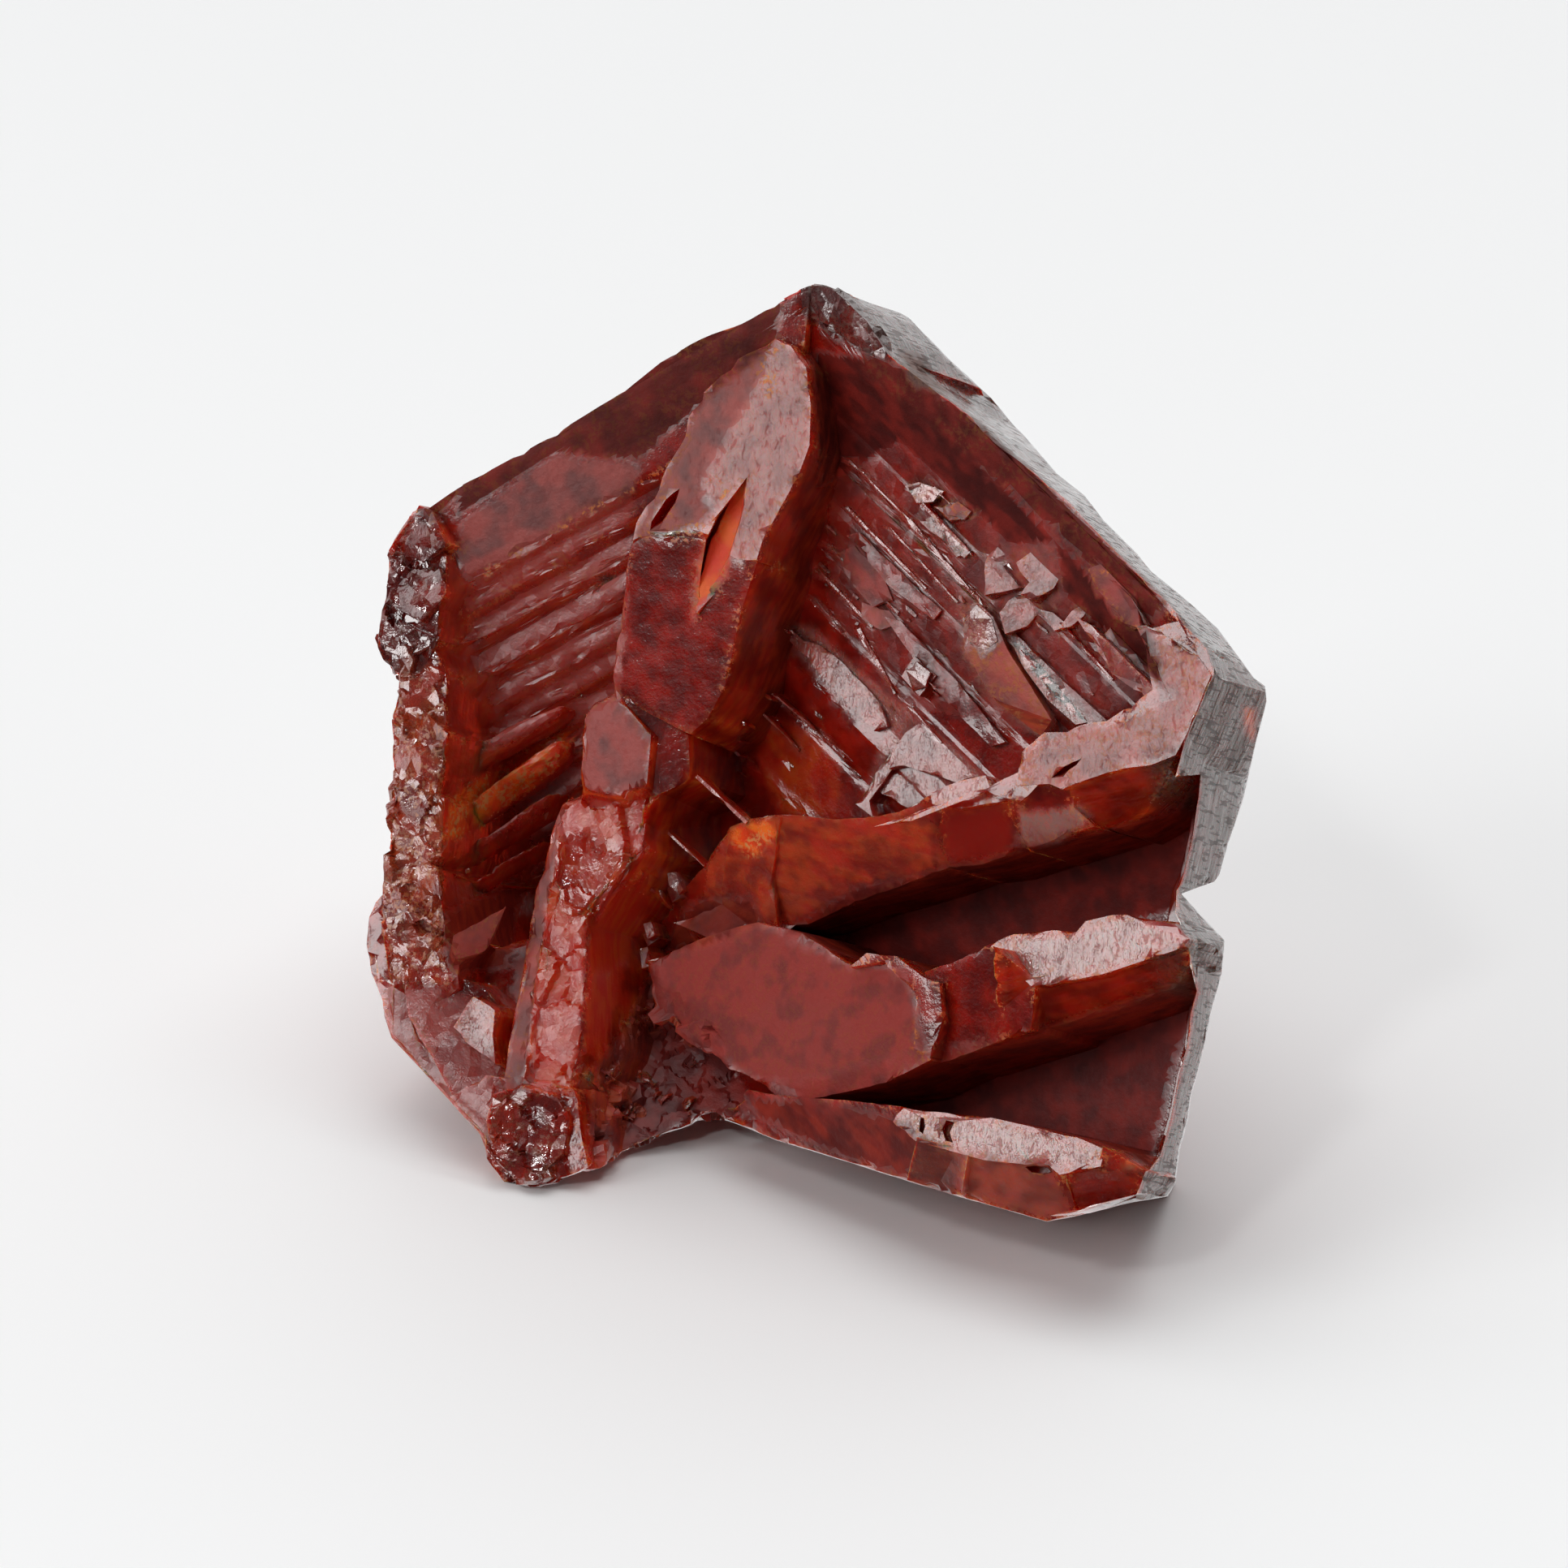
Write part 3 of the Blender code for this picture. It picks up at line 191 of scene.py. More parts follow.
# Parts of the surface with a look of their own. Each has an outline, its level in mm, how far
# above and below that level it reaches, and which way its faces look.
ZONES = (
    Zone("left ledges", ((560, 700), (780, 610), (760, 860), (700, 1000), (640, 1120),
         (545, 1150), (560, 960)), -3.5, 3.2, "open", film=0.42, matte=0.6, body=1.0,
         grit=0.35, dark=0.1),
    Zone("left walls", ((545, 690), (780, 600), (770, 860), (700, 1000), (640, 1220),
         (545, 1180), (550, 960)), -3.5, 3.2, "wall", amber=0.18, body=0.6, film=0.12,
         dark=0.22),
    Zone("right ledges", ((1020, 590), (1110, 540), (1430, 850), (1300, 910), (1120, 870),
         (1020, 760)), -2.0, 2.2, "open", matte=0.5, film=0.1, grit=0.3,
         dark=0.4),
    # Painted shade: the walls between the blades are darkened where shade falls.
    Zone("right walls", ((1000, 560), (1110, 520), (1440, 860), (1260, 930), (1180, 980),
         (880, 1000), (940, 830)), -3.0, 3.0, "wall", amber=0.2, dark=0.75),
    Zone("right slope", ((1000, 430), (1070, 440), (1420, 780), (1435, 850), (1110, 545),
         (1010, 600)), -1.2, 1.6, "any", dark=0.93, film=0.06, matte=1.0, amber=0.0),
    Zone("lower middle", ((764, 1275), (800, 1200), (880, 1270), (940, 1380), (860, 1375),
         (720, 1445), (700, 1350)), -4.6, 3.0, "any", film=0.08, grit=0.6, dark=0.1,
         lump=0.5, matte=0.85),
    Zone("foot slope", ((480, 1150), (560, 1200), (640, 1350), (620, 1450), (470, 1300)),
         -1.0, 2.2, "any", amber=0.1, film=0.08, body=0.6, matte=0.45, dark=0.42,
         grit=0.4),
    Zone("big rib, right half", ((955, 417), (974, 426), (993, 453), (999, 499), (997, 549),
         (985, 583), (962, 625), (939, 667), (932, 690), (900, 690), (895, 640), (863, 595),
         (894, 537), (932, 472)), 0.0, 0.5, "open", film=0.85, matte=0.75),
    Zone("big rib, left half", ((955, 417), (932, 472), (894, 537), (863, 595), (880, 640),
         (800, 665), (772, 670), (821, 576), (848, 514), (909, 442)), 0.0, 0.5, "open",
         film=0.5, matte=1.0, dark=0.25),
    Zone("corner flat", ((1253, 967), (1259, 926), (1315, 902), (1385, 888), (1442, 859),
         (1399, 771), (1475, 807), (1492, 832), (1448, 930), (1385, 946), (1309, 972)),
         0.0, 0.5, "open", film=0.75, matte=0.68, gold=0.3),
    Zone("second flat", ((1145, 977), (1214, 956), (1243, 973), (1243, 985), (1150, 990)),
         -0.55, 0.5, "open", film=0.8),
    Zone("third flat", ((1223, 1166), (1237, 1153), (1327, 1149), (1382, 1126), (1464, 1157),
         (1359, 1199), (1271, 1214)), 0.0, 0.5, "open", film=1.0, matte=0.1),
    Zone("fourth flat", ((1099, 1382), (1114, 1367), (1221, 1379), (1359, 1417), (1355, 1436),
         (1294, 1436), (1187, 1421), (1130, 1405)), 0.0, 0.5, "open", film=1.0, matte=0.1),
    Zone("diamond", ((584, 1233), (606, 1247), (607, 1304), (577, 1280), (565, 1265)),
         -0.75, 0.6, "open", film=0.8, matte=0.1, amber=0.0),
    Zone("hazy slope", ((565, 644), (683, 560), (790, 570), (779, 620), (676, 664), (640, 690),
         (565, 713)), -0.8, 1.2, "open", film=0.4, matte=0.85, dark=0.15),
    Zone("dark slope", ((560, 590), (767, 470), (966, 360), (960, 420), (840, 520), (790, 570),
         (683, 560), (560, 640)), -0.4, 1.2, "open", matte=0.85, grit=0.5,
         dark=0.88, film=0.2, gold=0.3),
    Zone("upper left edge", ((495, 650), (560, 570), (767, 448), (966, 342), (992, 345),
         (972, 374), (777, 482), (572, 602), (500, 682)), -0.9, 1.5, "any", dark=0.8,
         gold=0.5, matte=0.85, amber=0.0),
    Zone("right rim", ((1060, 398), (1091, 432), (1198, 512), (1267, 574), (1378, 681),
         (1440, 742), (1425, 772), (1350, 706), (1240, 602), (1170, 542), (1060, 458)),
         -0.3, 0.9, "any", dark=0.86, film=0.1, gold=0.3, matte=0.85, amber=0.0),
    Zone("golden band", ((545, 1035), (552, 985), (640, 930), (705, 895), (705, 935),
         (640, 985), (565, 1035)), -3.2, 2.4, "any", amber=1.0, gold=1.0, grit=0.5,
         film=0.0),
    Zone("red square", ((1164, 988), (1244, 984), (1248, 1052), (1168, 1064)), -1.2, 1.2,
         "any", amber=0.0, body=1.0, dark=0.1),
    # Painted reflection: a full pale film stands in for the light that this facet reflects.
    Zone("pink facet", ((1256, 1000), (1330, 992), (1348, 1005), (1305, 1042), (1256, 1045)),
         -1.0, 1.4, "any", amber=0.0, film=1.0, dark=0.0, matte=0.6),
    Zone("root of the fourth rib", ((923, 1345), (1100, 1375), (1185, 1430), (1170, 1475),
         (1040, 1425), (935, 1380)), -1.6, 1.8, "any", amber=0.1, matte=0.85, dark=0.75),
    Zone("second rib", ((905, 1010), (1140, 985), (1168, 1060), (1060, 1110), (960, 1140),
         (860, 1160), (870, 1070)), -2.6, 1.8, "any", amber=0.4, matte=0.5),
    Zone("third lens", ((800, 1185), (934, 1138), (1049, 1191), (1114, 1195), (1145, 1305),
         (1015, 1350), (923, 1325), (805, 1240)), -2.2, 1.6, "open", matte=1.6, body=0.36,
         film=0.0, dark=0.04, amber=0.0, gold=0.12),
    Zone("haze in the third lens", ((905, 1265), (960, 1225), (1040, 1240), (1060, 1290),
         (1000, 1335), (925, 1315)), -2.2, 1.6, "open", film=0.06),
    Zone("bright stripes", ((1243, 785), (1262, 785), (1345, 890), (1325, 897), (1285, 865),
         (1258, 825)), -1.5, 1.6, "open", film=0.7, matte=0.2),
    Zone("bright stripe, top", ((1135, 638), (1150, 630), (1200, 680), (1188, 692), (1158, 670)),
         -1.5, 1.6, "open", film=0.7, matte=0.2),
    Zone("low plates", ((955, 770), (1000, 770), (1100, 860), (1130, 880), (1215, 955),
         (1140, 985), (1060, 1000), (1075, 940), (1090, 905), (1040, 880)), -4.2, 1.4, "open",
         film=0.7, matte=0.2),
    Zone("chevrons", ((1205, 675), (1300, 670), (1310, 735), (1260, 770), (1215, 740)), -1.4,
         1.4, "open", film=0.5, matte=0.45, dark=0.0),
    Zone("foot of the second rib", ((815, 1175), (850, 1110), (925, 1105), (940, 1140),
         (870, 1168)), -3.2, 3.0, "open", film=0.05, matte=1.0, amber=0.2, dark=0.8),
    Zone("low left ledge", ((540, 1205), (548, 1125), (645, 1080), (630, 1190)), -3.0, 4.0,
         "any", film=0.05, matte=1.0, amber=0.2, dark=0.75),
    Zone("right inner strip", ((1375, 1440), (1395, 1330), (1410, 1225), (1470, 1215),
         (1460, 1330), (1425, 1450)), -3.0, 2.8, "wall", amber=0.7, dark=0.25),
    Zone("golden blade", ((1180, 745), (1215, 735), (1300, 885), (1285, 912), (1220, 865),
         (1185, 800)), -1.6, 1.4, "any", amber=0.45, gold=0.5, matte=0.85, dark=0.2),
    # Painted glow: amber and body red for light shining through under the long plate.
    Zone("glow under the long plate", ((950, 880), (1010, 905), (1040, 940), (1030, 1010),
         (960, 1000), (930, 930)), -4.6, 1.6, "any", amber=0.5, body=0.6),
    Zone("fourth side", ((1130, 1405), (1294, 1436), (1325, 1493), (1290, 1503), (1179, 1474),
         (1120, 1455)), -0.8, 1.2, "any", film=0.45, amber=0.25, matte=0.5),
    Zone("left ridge", ((488, 790), (548, 830), (546, 1150), (560, 1215), (480, 1210),
         (470, 1090), (484, 900)), -0.7, 1.1, "any", film=0.05, grit=1.0, gold=0.6, amber=0.4,
         lump=0.42, matte=0.1, dark=0.12),
    Zone("knob", ((511, 622), (552, 668), (540, 790), (522, 830), (480, 835), (460, 790),
         (470, 700)), -0.2, 1.3, "any", film=0.0, grit=1.0, gold=0.3, dark=0.82, lump=0.35,
         matte=0.0),
    Zone("foot knob", ((605, 1350), (640, 1338), (700, 1350), (700, 1450), (640, 1466),
         (600, 1430)), -0.7, 1.2, "any", grit=0.9, gold=0.3, lump=0.4, dark=0.5,
         matte=0.0, film=0.0),
    Zone("apex", ((985, 350), (1040, 345), (1095, 420), (1100, 445), (1050, 430), (985, 390)),
         -0.2, 1.2, "any", grit=1.0, gold=0.4, dark=0.88,
         film=0.15, lump=0.3, matte=0.3),
    Zone("middle tip", ((714, 864), (756, 853), (802, 906), (796, 975), (712, 979)),
         -1.9, 0.9, "open", film=0.3, matte=1.0),
    Zone("lower crest", ((690, 985), (796, 980), (792, 1046), (722, 1140), (716, 1290),
         (700, 1345), (650, 1345), (660, 1226), (680, 1065)), -1.9, 1.6, "any", body=0.8,
         amber=0.4, grit=0.55, lump=0.32, film=0.0, matte=0.5),
    Zone("wet top of the crest", ((680, 1030), (720, 1025), (785, 1048), (778, 1090),
         (740, 1140), (702, 1135), (680, 1085)), -1.9, 1.6, "any", matte=0.0, dark=0.2),
    Zone("mauve band", ((672, 990), (694, 985), (676, 1100), (652, 1345), (618, 1350),
         (635, 1220), (655, 1075)), -1.9, 1.6, "open", film=0.3, matte=1.0),
    # Painted shade: the upper recess is darkened.
    Zone("upper recess", ((960, 1150), (1053, 1095), (1264, 1046), (1450, 1000), (1480, 955),
         (1450, 1120), (1150, 1215)), -5.2, 3.4, "any", dark=0.8, amber=0.0, matte=1.0),
    # Painted shade: the lower recess is darkened.
    Zone("lower recess", ((960, 1340), (1143, 1290), (1298, 1262), (1466, 1200), (1475, 1221),
         (1414, 1446), (1300, 1430), (1015, 1372)), -4.6, 3.4, "any", dark=0.6, amber=0.0,
         matte=1.0),
    Zone("rim beside the lower recess", ((1420, 1215), (1450, 1212), (1444, 1300), (1428, 1400),
         (1408, 1445), (1380, 1445), (1412, 1330)), 0.0, 0.5, "open", amber=0.6, dark=0.3,
         matte=1.0, film=0.0),
    Zone("ledge of the outer face", ((1105, 430), (1150, 440), (1225, 478), (1215, 500),
         (1125, 474)), -1.5, 2.0, "any", dash=1.0, dark=0.0, amber=0.0, film=0.3, matte=0.8),
    Zone("pit in the outer face", ((1530, 868), (1549, 874), (1547, 912), (1533, 908)), -2.0,
         2.5, "any", dash=0.0, amber=0.9, gold=0.3, dark=0.3),
    Zone("golden spot", ((900, 1052), (902, 1020), (945, 1006), (958, 1032), (930, 1056)),
         -2.6, 1.2, "any", amber=1.0, gold=1.0, matte=0.3),
    # Painted glow: bright amber and red for light shining through the wall of the foot rib.
    Zone("glow of the foot rib", ((722, 1200), (738, 1105), (783, 1070), (812, 1020),
         (806, 1065), (790, 1122), (767, 1199), (744, 1300), (725, 1300)), -2.8, 2.2, "wall",
         amber=0.35, body=1.0, dark=0.0, matte=0.2, film=0.0),
    Zone("crust at the slot", ((845, 655), (858, 610), (880, 588), (902, 605), (888, 650)),
         0.0, 0.5, "open", gold=1.0),
    Zone("crust on the big rib", ((930, 460), (945, 420), (968, 430), (962, 485), (940, 495)),
         0.0, 0.5, "open", gold=0.8),
    Zone("slot", ((850, 765), (856, 713), (864, 664), (884, 622), (930, 562), (924, 625),
         (903, 690), (886, 725)), -1.0, 0.9, "any", amber=0.7, film=0.0, matte=1.0, body=1.0,
         gold=0.0, dark=0.0),
)

# The right-hand rim at level 0; the outer faces below it have a taupe skin.
OUTER_EDGE = (
    (1000, 347), (1026, 354), (1068, 396), (1091, 434), (1145, 476), (1198, 514), (1225, 545),
    (1267, 576), (1317, 618), (1378, 683), (1436, 740), (1486, 798), (1496, 830), (1463, 906),
    (1448, 958), (1437, 1020), (1424, 1078), (1438, 1110), (1462, 1157), (1452, 1218),
    (1443, 1284), (1430, 1330), (1420, 1376), (1408, 1424), (1394, 1470),
)

# Ground with its steps worn down: name, outline, level and reach in mm, and share of wear.
WORN_GROUND = (
    ("left ledges", ((560, 700), (780, 600), (765, 860), (705, 1000), (640, 1200), (552, 1190),
     (556, 960)), -3.5, 3.2, 0.5),
    ("crest", ((690, 985), (796, 980), (792, 1046), (722, 1140), (716, 1290), (700, 1345),
     (622, 1345), (637, 1226), (660, 1065)), -1.9, 1.6, 0.5),
)
WEAR_TURNS = 10

# Narrow bright basal faces: start, end and width in outline units, and how far they stand
# proud of the ledges in mm. They narrow to these shares of half their width at the ends.
EDGE_TAPER = (0.6, 0.5)
EDGE_DEPTH = 0.7
EDGE_SOFT = (0.6, 1.1)
EDGE_LOOKS = (("film", 0.4), ("matte", 0.05), ("body", 1.0), ("dark", 0.0), ("shine", 1.0))
BRIGHT_EDGES = (
    ((1135, 621), (1199, 683), 6, 0.10),
    ((1114, 637), (1214, 748), 5, 0.10),
    ((1042, 625), (1141, 725), 5, 0.10),
    ((1019, 671), (1107, 755), 5, 0.10),
    ((1000, 736), (1038, 778), 5, 0.10),
    ((1057, 775), (1103, 855), 6, 0.10),
    ((949, 854), (1012, 905), 5, 0.10),
    ((1012, 905), (1040, 933), 4, 0.10),
    ((857, 956), (920, 1013), 6, 0.10),
    ((822, 1026), (868, 1067), 5, 0.10),
    ((801, 1096), (827, 1121), 5, 0.10),
    ((712, 1321), (739, 1344), 4, 0.10),
    ((783, 1319), (806, 1338), 4, 0.10),
    ((1150, 600), (1186, 640), 4, 0.08),
    ((1095, 650), (1180, 742), 4, 0.08),
    ((1005, 700), (1075, 772), 5, 0.08),
    ((1255, 800), (1330, 885), 4, 0.10),
    ((1345, 770), (1420, 850), 4, 0.10),
    ((1120, 870), (1160, 915), 4, 0.08),
    ((940, 880), (985, 925), 4, 0.08),
    ((880, 985), (925, 1005), 4, 0.08),
    ((1045, 567), (1120, 640), 4, 0.08),
    ((1120, 640), (1205, 738), 4, 0.10),
    ((1305, 767), (1371, 837), 4, 0.10),
)
# The larger basal face low in the right-hand hopper, with its rise and depth in mm.
BRIGHT_PLATE = (
    (963, 781), (972, 773), (989, 788), (1010, 793), (1041, 819), (1084, 864), (1094, 895),
    (1076, 901), (1045, 867), (1016, 837), (987, 804),
)
PLATE_RISE = 0.1
PLATE_DEPTH = 1.0
# Blades that stand out of the hopper walls: outline, how far they stand proud in mm, and how
# much of the wall's slope their tops keep.
BLADE_DEPTH = 1.2
BLADES = (
    (((1184, 751), (1205, 742), (1224, 760), (1241, 799), (1270, 845), (1296, 887), (1282, 907),
      (1221, 860), (1187, 799)), 0.35, 0.5),
    (((1243, 790), (1258, 793), (1300, 840), (1340, 890), (1325, 893), (1290, 862), (1262, 825)),
     0.22, 0.0),
    (((1140, 640), (1150, 634), (1196, 680), (1188, 688), (1160, 668)), 0.15, 0.1),
    (((1042, 660), (1058, 655), (1110, 705), (1160, 752), (1150, 764), (1095, 722)), 0.20, 0.4),
    (((1325, 760), (1345, 770), (1425, 850), (1415, 862), (1370, 830)), 0.20, 0.4),
    (((1090, 760), (1110, 765), (1180, 840), (1240, 915), (1220, 920), (1150, 850)), 0.25, 0.5),
    (((542, 1013), (600, 960), (698, 900), (694, 940), (630, 985), (592, 1013), (556, 1031)),
     0.30, 0.6),
    (((542, 1056), (600, 1020), (690, 965), (682, 1000), (620, 1040), (549, 1077)), 0.30, 0.6),
    (((542, 1100), (600, 1065), (672, 1025), (664, 1055), (600, 1090), (549, 1120)), 0.30, 0.6),
    (((545, 940), (600, 900), (700, 860), (700, 880), (620, 925), (552, 965)), 0.25, 0.6),
)
# Small pale faces among the ledges: outline, how far they stand proud in mm, how much of the
# slope below they keep, and how pale they are. The palest are shiny.
PALEST = 0.7
FACET_FILM = 0.7
FACET_POLISH = 0.9
FACET_LEVEL = -2.0
FACET_REACH = 3.5
FACETS = (
    (((1118, 600), (1136, 595), (1159, 606), (1150, 618), (1124, 614)), 0.12, 0.3, 0.75),
    (((1160, 622), (1180, 617), (1197, 630), (1188, 641), (1164, 637)), 0.12, 0.3, 0.6),
    (((1030, 682), (1052, 670), (1088, 708), (1100, 740), (1075, 748), (1045, 716)), 0.12,
     0.6, 0.4),
    (((1062, 742), (1096, 752), (1108, 768), (1085, 776), (1060, 762)), 0.15, 0.2, 0.6),
    (((1187, 762), (1203, 744), (1222, 762), (1229, 790), (1212, 803), (1192, 790)), 0.45,
     0.5, 0.85),
    (((1116, 826), (1128, 814), (1146, 828), (1140, 846), (1124, 852)), 0.35, 0.2, 0.8),
    (((1340, 700), (1356, 694), (1400, 740), (1406, 775), (1385, 768), (1350, 725)), 0.15,
     0.6, 0.3),
    (((822, 1076), (832, 1074), (842, 1096), (836, 1103), (824, 1090)), 0.25, 0.2, 0.8),
    (((792, 1138), (802, 1136), (807, 1152), (798, 1157)), 0.25, 0.2, 0.8),
    (((790, 1172), (798, 1171), (801, 1184), (794, 1188)), 0.25, 0.2, 0.8),
    (((722, 700), (742, 690), (760, 700), (752, 722), (728, 722)), 0.15, 0.6, 0.5),
)
# The shallow bottom of the slot in the big rib, and its level and depth in mm.
SLOT_FACE = ((856, 758), (862, 712), (876, 664), (896, 622), (928, 566), (924, 620), (904, 688),
             (884, 728))
SLOT_LEVEL = -0.5
SLOT_DEPTH = 1.5
# The outline of a flake in shares of its length and width, how far its corners stray from it,
# its rise and depth in mm, and the spread of its turn and of its lean.
FLAKE_OUTLINE = ((-0.5, -0.3), (-0.2, -0.5), (0.35, -0.5), (0.5, 0.1), (0.3, 0.5), (-0.35, 0.5))
FLAKE_STRAY = (0.08, 0.1)
FLAKE_RISE = (0.04, 0.12)
FLAKE_DEPTH = 0.6
FLAKE_TURN = 0.07
FLAKE_LEAN = 0.004
FLAKE_SEED = 7
# Fields of small flakes: outline corners, count, length and width in outline units, and the
# direction in which the flakes lie.
FLAKE_FIELDS = (
    (((1020, 600), (1120, 560), (1400, 850), (1290, 900), (1130, 860), (990, 720)), 34,
     (8, 30), (2, 6), (0.72, 0.69)),
    (((900, 850), (980, 760), (1130, 900), (1010, 1000), (880, 960)), 14, (8, 26), (2, 5),
     (0.72, 0.69)),
    (((575, 730), (770, 640), (740, 850), (690, 980), (560, 1100)), 30, (6, 22), (2, 6),
     (0.865, -0.5)),
    (((700, 1330), (800, 1220), (900, 1350), (760, 1410)), 24, (6, 20), (3, 6), (0.7, 0.6)),
)


def frame_axes():
    """Local X, Y and Z of the crystal, in the attitude in which it stands."""
    level = Vector((0.0, -math.cos(AXIS_RISE), math.sin(AXIS_RISE)))
    side = Vector((1.0, 0.0, 0.0))
    axis_x = math.cos(AXIS_TURN) * side + math.sin(AXIS_TURN) * level
    axis_y = Vector((0.0, math.sin(AXIS_RISE), math.cos(AXIS_RISE)))
    axis_z = math.cos(AXIS_TURN) * level - math.sin(AXIS_TURN) * side
    return axis_x, axis_y, axis_z


AXES = frame_axes()
RIGHT = Vector((1.0, 0.0, 0.0))
UP = Vector((0.0, math.sin(VIEW_ELEVATION), math.cos(VIEW_ELEVATION)))
BACK = Vector((0.0, -math.cos(VIEW_ELEVATION), math.sin(VIEW_ELEVATION)))
EYE = RIGHT * EYE_RIGHT + UP * EYE_UP + BACK * EYE_DISTANCE

# The direction in which the basal faces mirror the eye's line of sight.
MIRRORED = 2 * AXES[2].dot(BACK) * AXES[2] - BACK
# Soft lights: setting that holds the power, direction from the crystal, distance and size in
# metres, and whether the light shows in reflections.
LAMPS = (
    ("window", MIRRORED, 0.6, 0.34, True),
    ("overhead", Vector((0.05, 0.1, 1.0)), 0.9, 0.9, False),
    ("small", Vector((-0.35, -0.75, 0.75)), 0.7, 0.07, True),
    ("fill", Vector((0.9, -0.45, 0.2)), 0.6, 0.5, False),
)
SURROUND_COLOUR = (0.98, 0.99, 1.0, 1.0)
FLOOR_COLOUR = (0.93, 0.93, 0.93, 1.0)
FLOOR_ROUGHNESS = 0.6
FLOOR_HEIGHT = -0.02 * MM
SENSOR_WIDTH = 36.0
CAMERA_REACH = (0.01, 20.0)


def to_local(point):
    """A direction, or an offset from the crystal's centre, in the crystal's own frame."""
    return Vector((point.dot(AXES[0]), point.dot(AXES[1]), point.dot(AXES[2])))


LOCAL_EYE = to_local(EYE)


def seen_offsets(x, y):
    """How far an outline corner is seen to the right of the centre and above it."""
    return RIGHT * ((x - OUTLINE_X) * OUTLINE_UNIT), UP * ((OUTLINE_Y - y) * OUTLINE_UNIT)


def at_level(x, y, level):
    """The place in the crystal's frame, in metres, of an outline corner on its level."""
    across, along = seen_offsets(x, y)
    ray = to_local(across + along) - LOCAL_EYE
    share = (level * MM - LOCAL_EYE.z) / ray.z
    return LOCAL_EYE + ray * share


def smooth_step(low, high, value):
    """Rises smoothly from 0 at low to 1 at high."""
    t = np.clip((value - low) / (high - low), 0.0, 1.0)
    return t * t * (3.0 - 2.0 * t)


class Ground:
    """Places as arrays, in mm in the crystal's frame."""

    def __init__(self, places):
        self.world = places
        self.turn = np.array([list(axis) for axis in AXES])
        self.point = (places - np.array(CENTRE)) @ self.turn.T / MM
        self.count = len(places)
        sight = places - np.array(CENTRE) - np.array(EYE)
        share = -EYE_DISTANCE / (sight @ np.array(BACK)) / OUTLINE_UNIT
        self.seen_x = OUTLINE_X + EYE_RIGHT / OUTLINE_UNIT + (sight @ np.array(RIGHT)) * share
        self.seen_y = OUTLINE_Y - EYE_UP / OUTLINE_UNIT - (sight @ np.array(UP)) * share

    def inside(self, outline, level, reach, soft=ZONE_FADE):
        """1 inside a region as the eye sees it and 0 outside, with a soft edge in mm."""
        crossing = np.zeros(self.count, bool)
        for (ax, ay), (bx, by) in zip(outline, outline[1:] + outline[:1]):
            if ay != by:
                cut = ax + (self.seen_y - ay) / (by - ay) * (bx - ax)
                crossing ^= ((ay > self.seen_y) != (by > self.seen_y)) & (self.seen_x < cut)
        distance = line_gap(self.seen_x, self.seen_y, outline + outline[:1])
        distance *= OUTLINE_UNIT / MM
        signed = np.where(crossing, distance, -distance)
        near, far = ZONE_ENDS
        high = 1.0 - smooth_step(reach * near, reach * far, np.abs(self.point[:, 2] - level))
        return smooth_step(-soft, soft, signed) * high


def line_gap(x, y, line):
    """Distance of each place from a line of corners."""
    distance = np.full(len(x), np.inf)
    for (ax, ay), (bx, by) in zip(line, line[1:]):
        edge_x = bx - ax
        edge_y = by - ay
        length = edge_x * edge_x + edge_y * edge_y
        along = np.clip(((x - ax) * edge_x + (y - ay) * edge_y) / length, 0.0, 1.0)
        distance = np.minimum(distance, np.hypot(x - ax - along * edge_x, y - ay - along * edge_y))
    return distance


def rows_of(items, name, width, kind):
    """The named values of every item of a mesh, one row for each."""
    values = np.empty(len(items) * width, kind)
    items.foreach_get(name, values)
    return values.reshape(-1, width)


class Surface(Ground):
    """The fine surface of a mesh: its corners, and which way it faces there."""

    def __init__(self, mesh):
        super().__init__(rows_of(mesh.vertices, "co", 3, np.float64))
        self.world_normal = rows_of(mesh.vertices, "normal", 3, np.float64)
        self.normal = self.world_normal @ self.turn.T

    def wave(self, scale, offset, octaves):
        """Smooth random values from about -1 to 1, with features of about scale mm."""
        values = np.empty(self.count)
        for i, (x, y, z) in enumerate(self.point / scale):
            place = Vector((x + offset, y, z))
            values[i] = noise.fractal(
                place, WAVE_FALL, WAVE_STEP, octaves, noise_basis="PERLIN_NEW"
            )
        return values

    def lumps(self, size, where):
        """Heights in mm of flat-sided lumps of about the given size, where they are wanted."""
        heights = np.zeros(self.count)
        for i in np.nonzero(where > LEAST_LUMP)[0]:
            place = Vector(self.point[i] / size)
            centre = noise.voronoi(place)[1][0]
            lean = noise.cell_vector(centre * LUMP_SPREAD)
            heights[i] = (place - centre).dot(lean) * size
        return heights

    def faces_match(self, kind):
        """1 where the surface looks the way that a zone asks for."""
        out = smooth_step(*OPEN_FACE, self.normal[:, 2])
        if kind == "open":
            return out
        if kind == "wall":
            return 1.0 - out
        return np.ones(self.count)

    def front(self):
        """1 where the surface faces the eye or stands edge on to it, 0 at the back."""
        sight = np.array(CENTRE + EYE) - self.world
        sight /= np.linalg.norm(sight, axis=1)[:, None]
        return smooth_step(*FAR_SIDE, (sight * self.world_normal).sum(axis=1))


def to_world(point):
    """The place in the scene of a point in the crystal's own frame."""
    return CENTRE + AXES[0] * point.x + AXES[1] * point.y + AXES[2] * point.z


